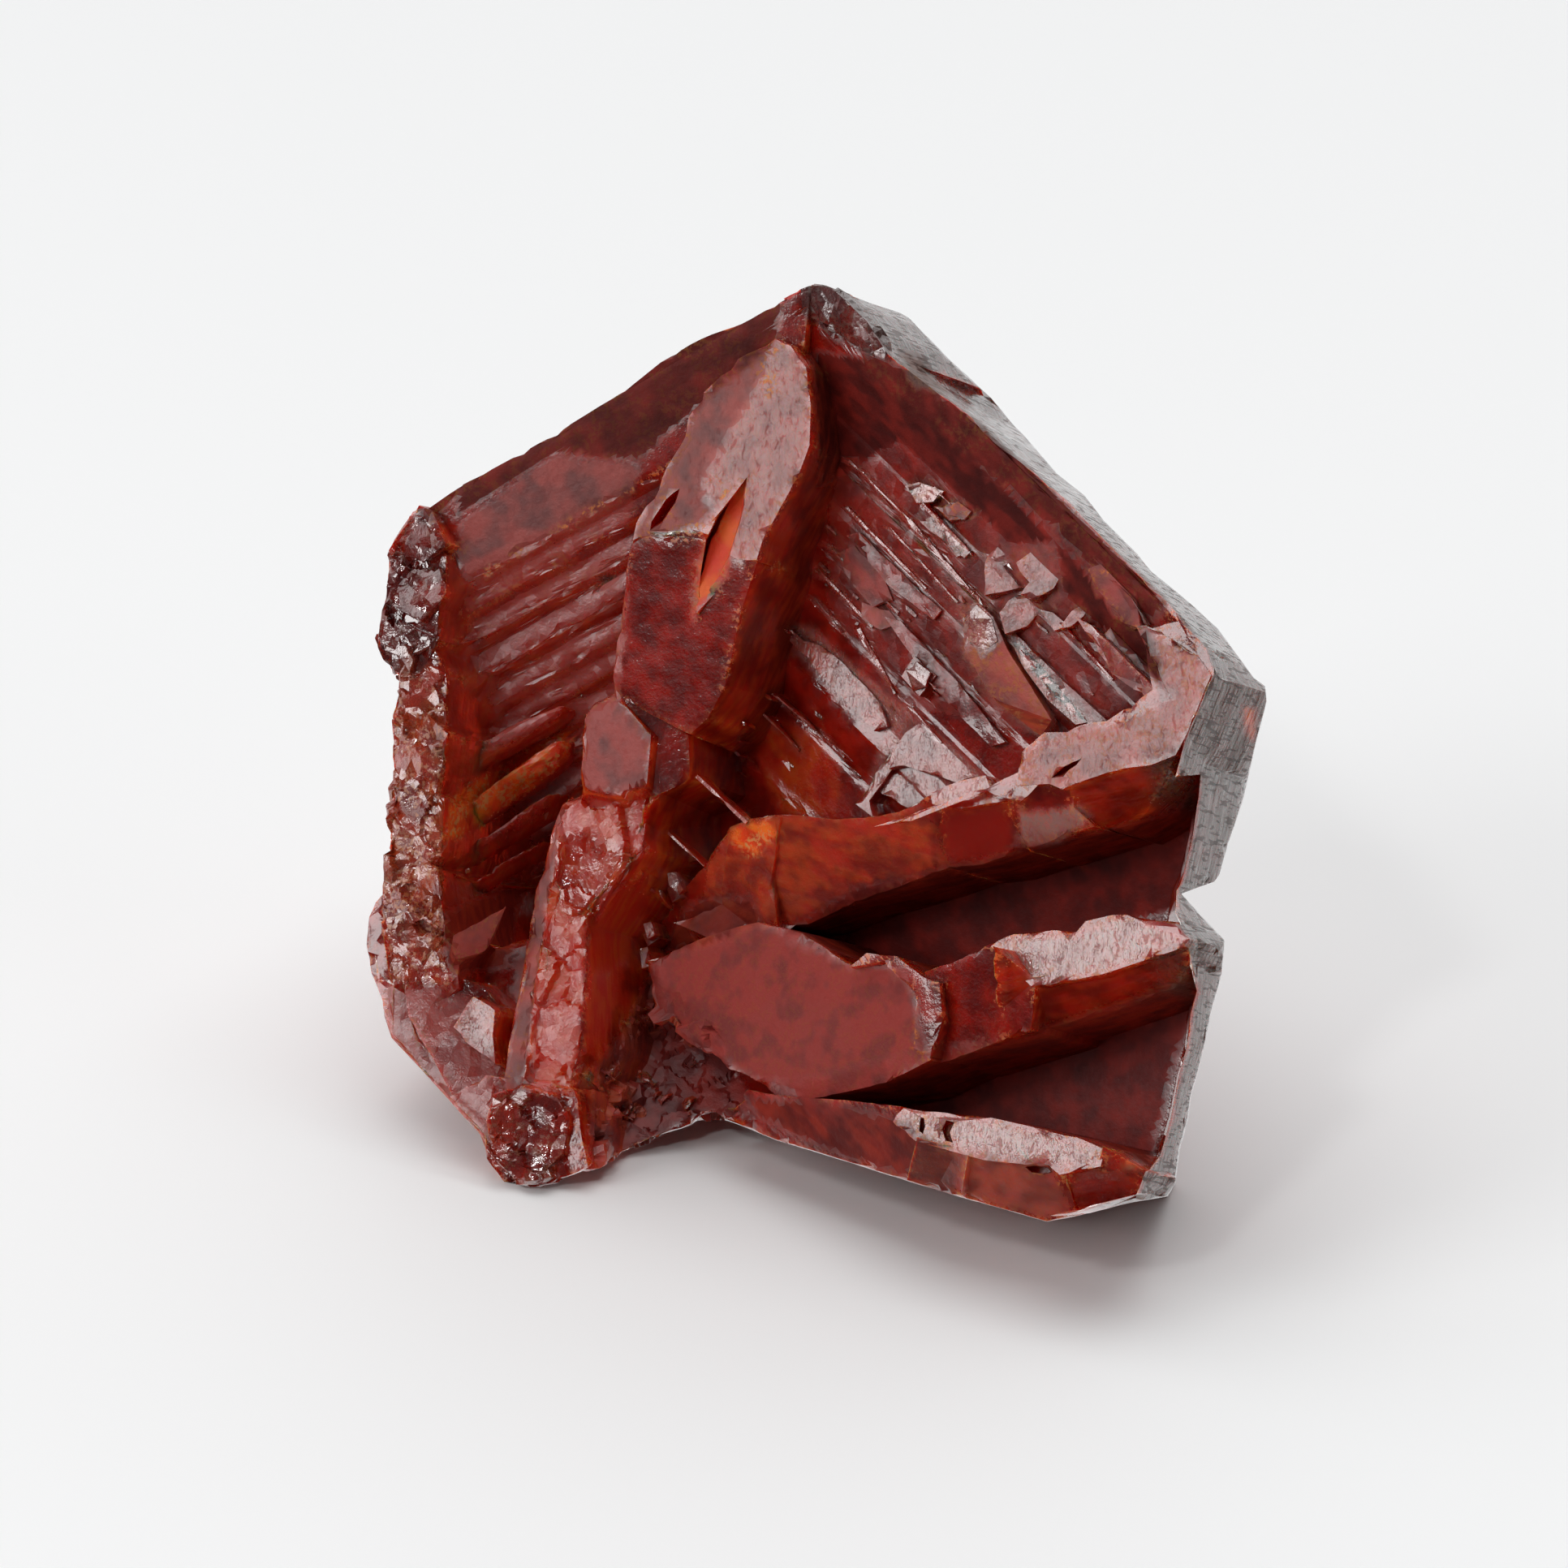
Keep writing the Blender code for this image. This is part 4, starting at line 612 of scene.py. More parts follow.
class SeenLevels:
    """Finds the level in mm of what the eye sees of the solid at an outline position."""

    def __init__(self, solid):
        corners = [vertex.co for vertex in solid.data.vertices]
        faces = [list(face.vertices) for face in solid.data.polygons]
        self.tree = BVHTree.FromPolygons(corners, faces)

    def level(self, x, y):
        """Raises an error where the eye looks past the crystal."""
        eye = CENTRE + EYE
        across, along = seen_offsets(x, y)
        hit = self.tree.ray_cast(eye, (CENTRE + across + along - eye).normalized())[0]
        if hit is None:
            raise RuntimeError(f"the eye sees no crystal at {x}, {y}")
        return to_local(hit - CENTRE).z / MM


def add_plate(shape, outline, levels, depth):
    """A small closed block with its top on the given levels and its foot in the crystal."""
    top = [at_level(x, y, level) for (x, y), level in zip(outline, levels)]
    foot = [Vector((point.x, point.y, point.z - depth * MM)) for point in top]
    upper = [shape.verts.new(to_world(point)) for point in top]
    lower = [shape.verts.new(to_world(point)) for point in foot]
    shape.faces.new(upper)
    shape.faces.new(list(reversed(lower)))
    for i in range(len(upper)):
        j = (i + 1) % len(upper)
        shape.faces.new((upper[j], upper[i], lower[i], lower[j]))


def bright_details(seen, density):
    """The narrow bright edges, plates and flakes of the hoppers as one mesh of blocks."""
    shape = bmesh.new()
    for (x0, y0), (x1, y1), width, proud in BRIGHT_EDGES:
        length = math.hypot(x1 - x0, y1 - y0)
        side_x = (y1 - y0) / length * width / 2
        side_y = -(x1 - x0) / length * width / 2
        start = seen.level(x0, y0) + proud
        end = seen.level(x1, y1) + proud
        first, last = EDGE_TAPER
        outline = (
            (x0 + side_x, y0 + side_y), (x1 + side_x * last, y1 + side_y * last),
            (x1 - side_x, y1 - side_y), (x0 - side_x * first, y0 - side_y * first),
        )
        add_plate(shape, outline, (start, end, end, start), EDGE_DEPTH)
    levels = [seen.level(x, y) for x, y in BRIGHT_PLATE]
    level = sorted(levels)[len(levels) * 2 // 3] + PLATE_RISE
    add_plate(shape, BRIGHT_PLATE, [level] * len(BRIGHT_PLATE), PLATE_DEPTH)
    blades = BLADES + tuple(facet[:3] for facet in FACETS)
    for outline, proud, slope in blades:
        levels = [seen.level(x, y) for x, y in outline]
        middle = sum(levels) / len(levels)
        tops = [middle + (level - middle) * slope + proud for level in levels]
        add_plate(shape, outline, tops, BLADE_DEPTH)
    add_plate(shape, SLOT_FACE, [SLOT_LEVEL] * len(SLOT_FACE), SLOT_DEPTH)
    dice = np.random.default_rng(FLAKE_SEED)
    for corners, count, lengths, widths, direction in FLAKE_FIELDS:
        xs = [x for x, y in corners]
        ys = [y for x, y in corners]
        made = 0
        while made < count * density:
            x = dice.uniform(min(xs), max(xs))
            y = dice.uniform(min(ys), max(ys))
            if not within(x, y, corners):
                continue
            made += 1
            add_flake(shape, seen, dice, x, y, lengths, widths, direction)
    bmesh.ops.recalc_face_normals(shape, faces=shape.faces)
    return shape


def within(x, y, corners):
    """Whether a place lies inside the corners."""
    odd = False
    for (ax, ay), (bx, by) in zip(corners, corners[1:] + corners[:1]):
        if (ay > y) != (by > y) and x < ax + (y - ay) / (by - ay) * (bx - ax):
            odd = not odd
    return odd


def add_flake(shape, seen, dice, x, y, lengths, widths, direction):
    """One long flake with uneven ends that lies along the ledges."""
    length = dice.uniform(*lengths) * dice.uniform(0.5, 1.0)
    width = dice.uniform(*widths)
    turn = math.atan2(direction[1], direction[0]) + dice.normal(0.0, FLAKE_TURN)
    cos, sin = math.cos(turn), math.sin(turn)
    long_stray, cross_stray = FLAKE_STRAY
    outline = []
    for along, across in FLAKE_OUTLINE:
        u = (along + dice.uniform(-long_stray, long_stray)) * length
        v = (across + dice.uniform(-cross_stray, cross_stray)) * width
        outline.append((x + u * cos - v * sin, y + u * sin + v * cos))
    level = seen.level(x, y) + dice.uniform(*FLAKE_RISE)
    lean_x, lean_y = dice.normal(0.0, FLAKE_LEAN, 2)
    levels = [level + (u - x) * lean_x + (v - y) * lean_y for u, v in outline]
    add_plate(shape, outline, levels, FLAKE_DEPTH)


def refined_copy(source, details, name, settings):
    """The solid's mesh with the details, small triangles and its crisp edges kept sharp."""
    shape = bmesh.new()
    shape.from_mesh(source.data)
    bmesh.ops.remove_doubles(shape, verts=shape.verts, dist=SAME_PLACE)
    bmesh.ops.dissolve_limit(
        shape, angle_limit=FLAT_TURN, verts=shape.verts, edges=shape.edges
    )
    points, faces = triangles_of(shape)
    more_points, more_faces = triangles_of(details)
    faces = np.concatenate([faces, more_faces + len(points)])
    points = np.concatenate([points, more_points])
    points, faces = split_long_edges(points, faces, EdgeLimit(settings))
    mesh = bpy.data.meshes.new(name)
    mesh.from_pydata(points, [], faces)
    mesh.shade_smooth()
    mark_crisp_edges(mesh)
    return mesh


def triangles_of(shape):
    """The corners and triangles of a mesh in the making, which it frees."""
    bmesh.ops.triangulate(shape, faces=shape.faces)
    shape.verts.index_update()
    points = np.array([corner.co for corner in shape.verts])
    faces = np.array([[corner.index for corner in face.verts] for face in shape.faces])
    shape.free()
    return points, faces


class EdgeLimit:
    """The longest mesh edge allowed at a place: finest on rough ground, coarse at the back."""

    def __init__(self, settings):
        self.settings = settings

    def __call__(self, places):
        ground = Ground(places)
        limit = np.full(ground.count, self.settings.fine_edge)
        limit[ground.point[:, 2] < BACK_DEPTH] = self.settings.coarse_edge
        for zone in ZONES:
            if zone.looks.get("lump", 0.0) > ROUGH_GROUND:
                rough = ground.inside(zone.outline, zone.level, zone.reach) > 0.5
                limit[rough] = self.settings.rough_edge
        return limit


def split_long_edges(points, faces, limit):
    """Halves the longest edge of each triangle that is too large, until none is."""
    for step in range(SPLIT_ROUNDS):
        after = np.roll(faces, -1, axis=1)
        low = np.minimum(faces, after)
        high = np.maximum(faces, after)
        keys, which = np.unique((low * len(points) + high).ravel(), return_inverse=True)
        which = which.reshape(-1, 3)
        ends = np.stack([keys // len(points), keys % len(points)], axis=1)
        length = np.linalg.norm(points[ends[:, 0]] - points[ends[:, 1]], axis=1)
        halfway = points[ends].mean(axis=1)
        too_long = length > limit(halfway)
        longest = which[np.arange(len(faces)), np.argmax(length[which], axis=1)]
        a, b, c = [points[faces[:, k]] for k in range(3)]
        wide = np.linalg.norm(np.cross(b - a, c - a), axis=1) / 2 > SLIVER_AREA
        cut = np.zeros(len(keys), bool)
        cut[longest[too_long[longest] & wide]] = True
        if not cut.any():
            break
        fresh = np.full(len(keys), -1)
        fresh[cut] = len(points) + np.arange(cut.sum())
        points = np.concatenate([points, halfway[cut]])
        faces = divided(faces, fresh[which])
    return points, faces


def divided(faces, fresh):
    """The triangles divided at the new corners on their edges; -1 stands for no corner."""
    count = (fresh >= 0).sum(axis=1)
    parts = [faces[count == 0]]
    for turn in range(3):
        a, b, c = np.roll(faces, -turn, axis=1).T
        ab, bc, ca = np.roll(fresh, -turn, axis=1).T
        one = (count == 1) & (ab >= 0)
        two = (count == 2) & (ca < 0)
        for kind, corners in ((one, (a, ab, c)), (one, (ab, b, c)), (two, (ab, b, bc)),
                              (two, (a, ab, bc)), (two, (a, bc, c))):
            parts.append(np.stack(corners, axis=1)[kind])
    a, b, c = faces[count == 3].T
    ab, bc, ca = fresh[count == 3].T
    for corners in ((a, ab, ca), (ab, b, bc), (ca, bc, c), (ab, bc, ca)):
        parts.append(np.stack(corners, axis=1))
    return np.concatenate(parts)


def mark_crisp_edges(mesh):
    """Keeps the edges between the crystal's faces sharp."""
    shape = bmesh.new()
    shape.from_mesh(mesh)
    for edge in shape.edges:
        clear = all(face.calc_area() > SMALLEST_FACE for face in edge.link_faces)
        edge.smooth = not clear or edge.calc_face_angle(0.0) < CRISP_TURN
    shape.to_mesh(mesh)
    shape.free()


def edge_distance(mesh, surface):
    """Distance in mm of every point from the nearest outward edge of the crystal."""
    shape = bmesh.new()
    shape.from_mesh(mesh)
    corners = set()
    for edge in shape.edges:
        if not edge.smooth and edge.calc_face_angle_signed(0.0) > 0.0:
            corners.add(edge.verts[0].index)
            corners.add(edge.verts[1].index)
    shape.free()
    tree = kdtree.KDTree(len(corners))
    for index in corners:
        tree.insert(surface.point[index], index)
    tree.balance()
    return np.array([tree.find(point)[2] for point in surface.point])


def paint(looks, amounts, here):
    """Moves each named look towards its amount, as far as here says."""
    for name, amount in amounts:
        looks[name] += (amount - looks[name]) * here


def new_object(context, name, data):
    """A new object that is in the scene."""
    made = bpy.data.objects.new(name, data)
    context.scene.collection.objects.link(made)
    return made


def store(mesh, name, values):
    layer = mesh.attributes.new(name, "FLOAT", "POINT")
    layer.data.foreach_set("value", values.astype(np.float32))


class NodeSheet:
    """Short calls for making and joining the nodes of a material or of the surround."""

    def __init__(self, owner):
        owner.use_nodes = True
        self.tree = owner.node_tree
        self.shader = self.tree.nodes.get("Principled BSDF")
        self.output = self.tree.nodes.get("Material Output")
        self.place = self.node("ShaderNodeTexCoord").outputs["Object"]

    def node(self, kind, inputs=None, **values):
        made = self.tree.nodes.new(kind)
        for key, value in values.items():
            setattr(made, key, value)
        self.fill(made, inputs or {})
        return made

    def join(self, source, target):
        self.tree.links.new(source, target)

    def fill(self, node, inputs):
        """Joins or sets each named input of a node."""
        for name, value in inputs.items():
            if isinstance(value, bpy.types.NodeSocket):
                self.join(value, node.inputs[name])
            else:
                node.inputs[name].default_value = value

    def attribute(self, name):
        return self.node("ShaderNodeAttribute", attribute_name=name).outputs["Fac"]

    def math(self, operation, a, b, clamp=False):
        made = self.node("ShaderNodeMath", {0: a, 1: b}, operation=operation, use_clamp=clamp)
        return made.outputs[0]

    def vector(self, operation, a, b):
        made = self.node("ShaderNodeVectorMath", {0: a, 1: b}, operation=operation)
        return made.outputs["Value" if operation == "DOT_PRODUCT" else "Vector"]

    def times(self, a, b, clamp=False):
        return self.math("MULTIPLY", a, b, clamp)

    def plus(self, a, b, clamp=False):
        return self.math("ADD", a, b, clamp)

    def most(self, a, b, clamp=False):
        return self.math("MAXIMUM", a, b, clamp)

    def blend(self, amount, below, colour):
        """A colour laid over what is below it."""
        inputs = {"Factor": amount, "A": below, "B": (*colour, 1.0)}
        return self.node("ShaderNodeMix", inputs, data_type="RGBA").outputs["Result"]

    def between(self, value, low, high, start=0.0, end=1.0):
        """Goes smoothly from start at the low value to end at the high one."""
        inputs = {"Value": value, "From Min": low, "From Max": high, "To Min": start, "To Max": end}
        made = self.node("ShaderNodeMapRange", inputs, interpolation_type="SMOOTHSTEP")
        return made.outputs["Result"]

    def grain(self, size, detail=1.0, rough=0.5, stretch=(1.0, 1.0, 1.0), twist=0.0):
        """Noise with features of about the given size in mm."""
        inputs = {"Scale": 1.0 / (size * MM), "Detail": detail, "Roughness": rough,
                  "Distortion": twist, "Vector": self.crystal_place(stretch)}
        return self.node("ShaderNodeTexNoise", inputs).outputs["Fac"]

    def facets(self, size):
        """Small flat facets that lean every way, as a height in units of their size."""
        place = self.crystal_place((size * MM,) * 3)
        cells = self.node("ShaderNodeTexVoronoi", {"Scale": 1.0, "Vector": place})
        inside = self.vector("SUBTRACT", place, cells.outputs["Position"])
        lean = self.vector("SUBTRACT", cells.outputs["Color"], (0.5, 0.5, 0.5))
        return self.vector("DOT_PRODUCT", inside, lean)

    def bump(self, height, distance, strength, below=None):
        """A bump whose full height is the distance in mm."""
        inputs = {"Distance": distance * MM, "Strength": strength, "Height": height}
        if below is not None:
            inputs["Normal"] = below
        return self.node("ShaderNodeBump", inputs).outputs["Normal"]

    def crystal_place(self, stretch):
        """Object coordinates turned into the crystal's frame and drawn out along its axes."""
        turn = Matrix((AXES[0], AXES[1], AXES[2])).transposed().to_euler()
        inputs = {"Rotation": turn, "Scale": stretch, "Vector": self.place}
        return self.node("ShaderNodeMapping", inputs, vector_type="TEXTURE").outputs["Vector"]


def vanadinite_material(name, settings, lustre, cloudiness):
    """Translucent deep red crystal: pale film, golden specks, painted amber glow and painted shade.
    """
    material = bpy.data.materials.new(name)
    sheet = NodeSheet(material)
    film, matte, amber, gold, grit, dark, thin, dash = [
        sheet.attribute(look) for look in STORED_LOOKS
    ]

    layers = sheet.grain(LAYER_SIZE, 1.0, 0.6, LAYER_STRETCH)
    cloud = sheet.grain(CLOUD_SIZE, 2.0, 0.6)
    fine = sheet.grain(FINE_SIZE, 2.0, 0.65)
    etch = sheet.grain(ETCH_SIZE, 2.0, 0.7, ETCH_STRETCH, ETCH_TWIST)

    # Red body with deeper clouds.
    cloudy = sheet.plus(sheet.between(cloud, 0.34, 0.66), thin, True)
    colour = sheet.blend(cloudy, (*settings.deep_colour, 1.0), settings.body_colour)
    # Painted glow: amber in thin edges and risers, in place of light shining through them.
    glow = sheet.times(amber, sheet.between(layers, 0.38, 0.6, 0.25, 1.0))
    glow = sheet.times(glow, sheet.between(cloud, 0.35, 0.55, 0.45, 1.0), True)
    colour = sheet.blend(glow, colour, settings.amber_and_glow_colour)
    # Mauve film, thinner where the face is etched.
    haze = sheet.times(film, sheet.between(etch, 0.38, 0.55, 0.72, 1.0))
    haze = sheet.times(haze, sheet.between(cloud, 0.35, 0.55, 0.75, 1.0), True)
    colour = sheet.blend(haze, colour, settings.film_colour)
    # Golden specks in patches.
    patches = sheet.between(sheet.grain(PATCH_SIZE), 0.38, 0.52)
    crust = sheet.times(sheet.between(fine, 0.5, 0.58), patches)
    crust = sheet.times(crust, gold, True)
    colour = sheet.blend(crust, colour, settings.crust_colour)
    # Taupe skin of the outer faces, with dark dashes along the axis.
    colour = sheet.blend(sheet.times(dash, 0.8), colour, settings.outer_colour)
    lines = sheet.between(sheet.grain(DASH_SIZE, stretch=DASH_STRETCH), 0.54, 0.62)
    lines = sheet.times(lines, dash, True)
    # Painted shade: near-black red in recesses, deep down and other dark places, and on the dashes.
    shade = sheet.times(dark, sheet.between(layers, 0.4, 0.6, 1.0, 0.9))
    shade = sheet.most(shade, sheet.times(lines, 0.45), True)
    colour = sheet.blend(shade, colour, settings.shade_and_dash_colour)

    # Rougher where it is etched, dashed, pitted or crusted.
    rough = sheet.between(fine, 0.3, 0.7, settings.polish, settings.polish + 0.08)
    rough = sheet.plus(rough, sheet.times(matte, 0.44))
    rough = sheet.plus(rough, sheet.times(lines, 0.3))
    rough = sheet.plus(rough, sheet.times(film, sheet.between(etch, 0.34, 0.42, 0.3, 0.0)))
    rough = sheet.plus(rough, sheet.times(crust, 0.35), True)

    # Light passes where no film, crust, painted shade or painted amber glow veils the body.
    veil = sheet.most(haze, sheet.most(crust, dark))
    veil = sheet.most(veil, sheet.times(amber, 0.85))
    clear = sheet.between(veil, 0.0, 1.0, settings.clearness, 0.0)

    # Growth layers and fine grain, and with enough lustre etched pits and broken facets.
    ripples = sheet.bump(layers, LAYER_HEIGHT, 0.6)
    grains = sheet.bump(fine, FINE_HEIGHT, sheet.between(grit, 0.0, 1.0, 0.4, 0.6), ripples)
    if lustre > LEAST_LUSTRE:
        etched = sheet.between(film, 0.3, 0.8, 0.0, 0.6)
        grains = sheet.bump(etch, ETCH_HEIGHT, etched, grains)
        leaning = sheet.between(grit, 0.0, 1.0, 0.06, 0.9)
        grains = sheet.bump(sheet.facets(FACET_SIZE), FACET_SIZE, leaning, grains)

    shader = sheet.shader
    sheet.fill(shader, {"Base Color": colour, "Roughness": rough, "Normal": grains,
                        "Transmission Weight": clear})
    shader.inputs["IOR"].default_value = settings.refraction
    shader.inputs["Specular IOR Level"].default_value = lustre
    shader.inputs["Subsurface Weight"].default_value = cloudiness
    shader.inputs["Subsurface Radius"].default_value = GLOW_RADIUS
    shader.inputs["Subsurface Scale"].default_value = settings.glow_depth
    absorb = sheet.node("ShaderNodeVolumeAbsorption")
    absorb.inputs["Color"].default_value = (*settings.absorption_colour, 1.0)
    absorb.inputs["Density"].default_value = settings.absorption_density
    sheet.join(absorb.outputs["Volume"], sheet.output.inputs["Volume"])
    return material


class CrystalSettings(bpy.types.PropertyGroup):
    """Mesh sizes, colours and optics of the crystal"""

    fine_edge: FloatProperty(
        name="Fine edge", description="Longest mesh edge on the open side",
        default=0.44 * MM, unit="LENGTH",
    )
    coarse_edge: FloatProperty(
        name="Coarse edge", description="Longest mesh edge on the broken back",
        default=1.0 * MM, unit="LENGTH",
    )
    rough_edge: FloatProperty(
        name="Rough edge", description="Longest mesh edge on rough ground",
        default=0.2 * MM, unit="LENGTH",
    )
    flake_density: FloatProperty(
        name="Flake density", description="Share of the flakes that are made",
        default=1.0, subtype="FACTOR", min=0.0, max=1.0,
    )
    deep_colour: FloatVectorProperty(
        name="Deep red", description="Colour of the crystal where it is thick",
        default=(0.36, 0.010, 0.005), subtype="COLOR", size=3, min=0.0, max=1.0,
    )
    body_colour: FloatVectorProperty(
        name="Body red", description="Colour of the crystal where it is thinner",
        default=(0.82, 0.034, 0.014), subtype="COLOR", size=3, min=0.0, max=1.0,
    )
    # Painted glow: amber that stands in for light shining through thin edges and risers.
    amber_and_glow_colour: FloatVectorProperty(
        name="Amber", description="Colour of thin edges and risers",
        default=(1.0, 0.19, 0.02), subtype="COLOR", size=3, min=0.0, max=1.0,
    )
    film_colour: FloatVectorProperty(
        name="Film", description="Pale mauve film on the basal faces",
        default=(0.38, 0.19, 0.165), subtype="COLOR", size=3, min=0.0, max=1.0,
    )
    outer_colour: FloatVectorProperty(
        name="Outer faces", description="Taupe skin of the outer faces",
        default=(0.17, 0.115, 0.075), subtype="COLOR", size=3, min=0.0, max=1.0,
    )
    crust_colour: FloatVectorProperty(
        name="Crust", description="Golden specks along the rims",
        default=(0.72, 0.27, 0.07), subtype="COLOR", size=3, min=0.0, max=1.0,
    )
    # Painted shade: near-black red for recesses and deep places, also used for the dark dashes.
    shade_and_dash_colour: FloatVectorProperty(
        name="Recess", description="Colour deep in the recesses",
        default=(0.032, 0.003, 0.0025), subtype="COLOR", size=3, min=0.0, max=1.0,
    )
    absorption_colour: FloatVectorProperty(
        name="Absorption", description="Colour that the body lets through",
        default=(0.975, 0.14, 0.03), subtype="COLOR", size=3, min=0.0, max=1.0,
    )
    absorption_density: FloatProperty(
        name="Absorption density", description="Absorption for each metre of crystal",
        default=380.0, min=0.0,
    )
    refraction: FloatProperty(
        name="Refraction", description="Index of refraction", default=2.0, min=1.0, max=3.0,
    )
    lustre: FloatProperty(
        name="Lustre", description="Strength of the mirror-like shine",
        default=0.5, subtype="FACTOR", min=0.0, max=1.0,
    )
    glow_depth: FloatProperty(
        name="Glow depth", description="How far light spreads under the surface",
        default=0.6 * MM, unit="LENGTH",
    )
    clearness: FloatProperty(
        name="Clearness", description="Share of light that passes into the body",
        default=0.65, subtype="FACTOR", min=0.0, max=1.0,
    )
    polish: FloatProperty(
        name="Polish", description="Lowest roughness of the faces",
        default=0.10, subtype="FACTOR", min=0.0, max=1.0,
    )


class StageSettings(bpy.types.PropertyGroup):
    """Floor, lights and lens"""

    floor_size: FloatProperty(
        name="Floor size", description="Width of the floor", default=6.0, unit="LENGTH",
    )
    surround: FloatProperty(
        name="Surround", description="Strength of the pale light from behind", default=0.97,
    )
    left_side: FloatProperty(
        name="Left side", description="Strength of the pale light from the left", default=0.22,
    )
    room: FloatProperty(
        name="Room", description="Strength of the light from everywhere else", default=0.03,
    )
    window: FloatProperty(
        name="Window", description="Power of the large soft light on the left, in watts",
        default=1.1,
    )
    overhead: FloatProperty(
        name="Overhead", description="Power of the large soft light above, in watts",
        default=3.95,
    )
    small: FloatProperty(
        name="Small light", description="Power of the small light that makes glints, in watts",
        default=0.5,
    )
    fill: FloatProperty(
        name="Fill", description="Power of the soft light from the right, in watts", default=0.8,
    )
    lens: FloatProperty(name="Lens", description="Focal length in mm", default=247.4)


class OBJECT_OT_vanadinite_crystal(bpy.types.Operator):
    """Makes the crystal's finished surface in place of the plain solid"""

    bl_idname = "object.vanadinite_crystal"
    bl_label = "Vanadinite crystal"

    def execute(self, context):
        settings = context.scene.crystal_settings
        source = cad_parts["vanadinite_crystal"]
        details = bright_details(SeenLevels(source), settings.flake_density)
        mesh = refined_copy(source, details, "crystal_surface", settings)
        surface = Surface(mesh)
        rim = edge_distance(mesh, surface)
        looks = self.looks(surface, rim)
        self.soften(mesh, surface)
        self.shape(mesh, surface, rim, looks)
        for name in STORED_LOOKS:
            store(mesh, name, looks[name])
        piece = new_object(context, "crystal_surface", mesh)
        mesh.materials.append(vanadinite_material("vanadinite", settings, settings.lustre, 1.0))
        for name, lustre in LUSTRES:
            mesh.materials.append(vanadinite_material(name, settings, lustre, 0.0))
        self.mark_lustre(mesh, surface, looks)
        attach(piece, "root")
        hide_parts("vanadinite_crystal")
        return {"FINISHED"}

    def looks(self, surface, rim):
        """How strong each look is at every corner of the surface."""
        looks = {name: np.zeros(surface.count) for name in LOOKS}
        wall = surface.faces_match("wall")
        outward = (surface.normal[:, :2] * surface.point[:, :2]).sum(axis=1) > 0.0
        edge = [tuple(at_level(x, y, 0.0).xy / MM) for x, y in OUTER_EDGE]
        away = line_gap(surface.point[:, 0], surface.point[:, 1], edge)
        looks["dash"] = (1.0 - smooth_step(*SKIN_FADE, away)) * wall * outward
        front = surface.front()
        for zone in ZONES:
            here = surface.inside(zone.outline, zone.level, zone.reach)
            here *= surface.faces_match(zone.faces) * front
            paint(looks, zone.looks.items(), here)
        self.brighten_edges(surface, looks)
        # Painted glow: amber on every wall, and more near thin outward edges, for light shining
        # through.
        looks["amber"] = np.maximum(looks["amber"], LEAST_WALL_GLOW * wall)
        thin = np.exp(-((rim / THIN_EDGE) ** 2)) * THIN_EDGE_GLOW * wall * (1.0 - looks["dark"])
        looks["amber"] = np.maximum(looks["amber"], thin)
        high = smooth_step(*CRUST_LEVELS, surface.point[:, 2])
        high = LEAST_CRUST + (1.0 - LEAST_CRUST) * high
        high *= 1.0 - smooth_step(0.0, ROUGH_GROUND, looks["lump"])
        crust = np.exp(-((rim / CRUST_WIDTH) ** 2)) * CRUST_SHARE * high
        looks["gold"] = np.maximum(looks["gold"], crust)
        looks["amber"] *= 1.0 - looks["dash"]
        # Painted shade: the deeper the surface lies, the darker it is painted.
        deep = smooth_step(*DARK_DEPTHS, -surface.point[:, 2]) * DARK_SHARE
        deep *= 1.0 - looks["dash"]
        looks["dark"] = np.maximum(looks["dark"], deep)
        return looks

    def brighten_edges(self, surface, looks):
        """Gives the narrow basal faces in the hoppers a pale, shiny look."""
        level = surface.faces_match("open")
        near, far = EDGE_SOFT
        for start, end, width, proud in BRIGHT_EDGES:
            gap = line_gap(surface.seen_x, surface.seen_y, (start, end))
            here = (1.0 - smooth_step(width * near, width * far, gap)) * level
            paint(looks, EDGE_LOOKS, here)
        for outline, proud, slope, pale in FACETS:
            here = surface.inside(outline, FACET_LEVEL, FACET_REACH, FACET_FADE)
            here = np.minimum(1.0, 2.0 * here) * level
            shiny = float(pale > PALEST)
            facet = {"film": pale * FACET_FILM, "matte": 1.0 - shiny * FACET_POLISH,
                     "amber": 0.0, "dark": 0.0, "shine": shiny}
            paint(looks, facet.items(), here)

    def soften(self, mesh, surface):
        """Wears the steps of the left-hand ledges and of the crest down to soft waves."""
        amount = np.zeros(surface.count)
        for name, outline, level, reach, share in WORN_GROUND:
            here = surface.inside(outline, level, reach, WORN_FADE) * share
            amount = np.maximum(amount, here)
        ends = rows_of(mesh.edges, "vertices", 2, np.int64)
        near = np.bincount(ends.ravel(), minlength=surface.count)
        place = surface.world.copy()
        for turn in range(WEAR_TURNS):
            total = np.zeros_like(place)
            for axis in range(3):
                total[:, axis] = np.bincount(
                    ends[:, 0], place[ends[:, 1], axis], surface.count
                ) + np.bincount(ends[:, 1], place[ends[:, 0], axis], surface.count)
            place += (total / near[:, None] - place) * amount[:, None]
        surface.world = place

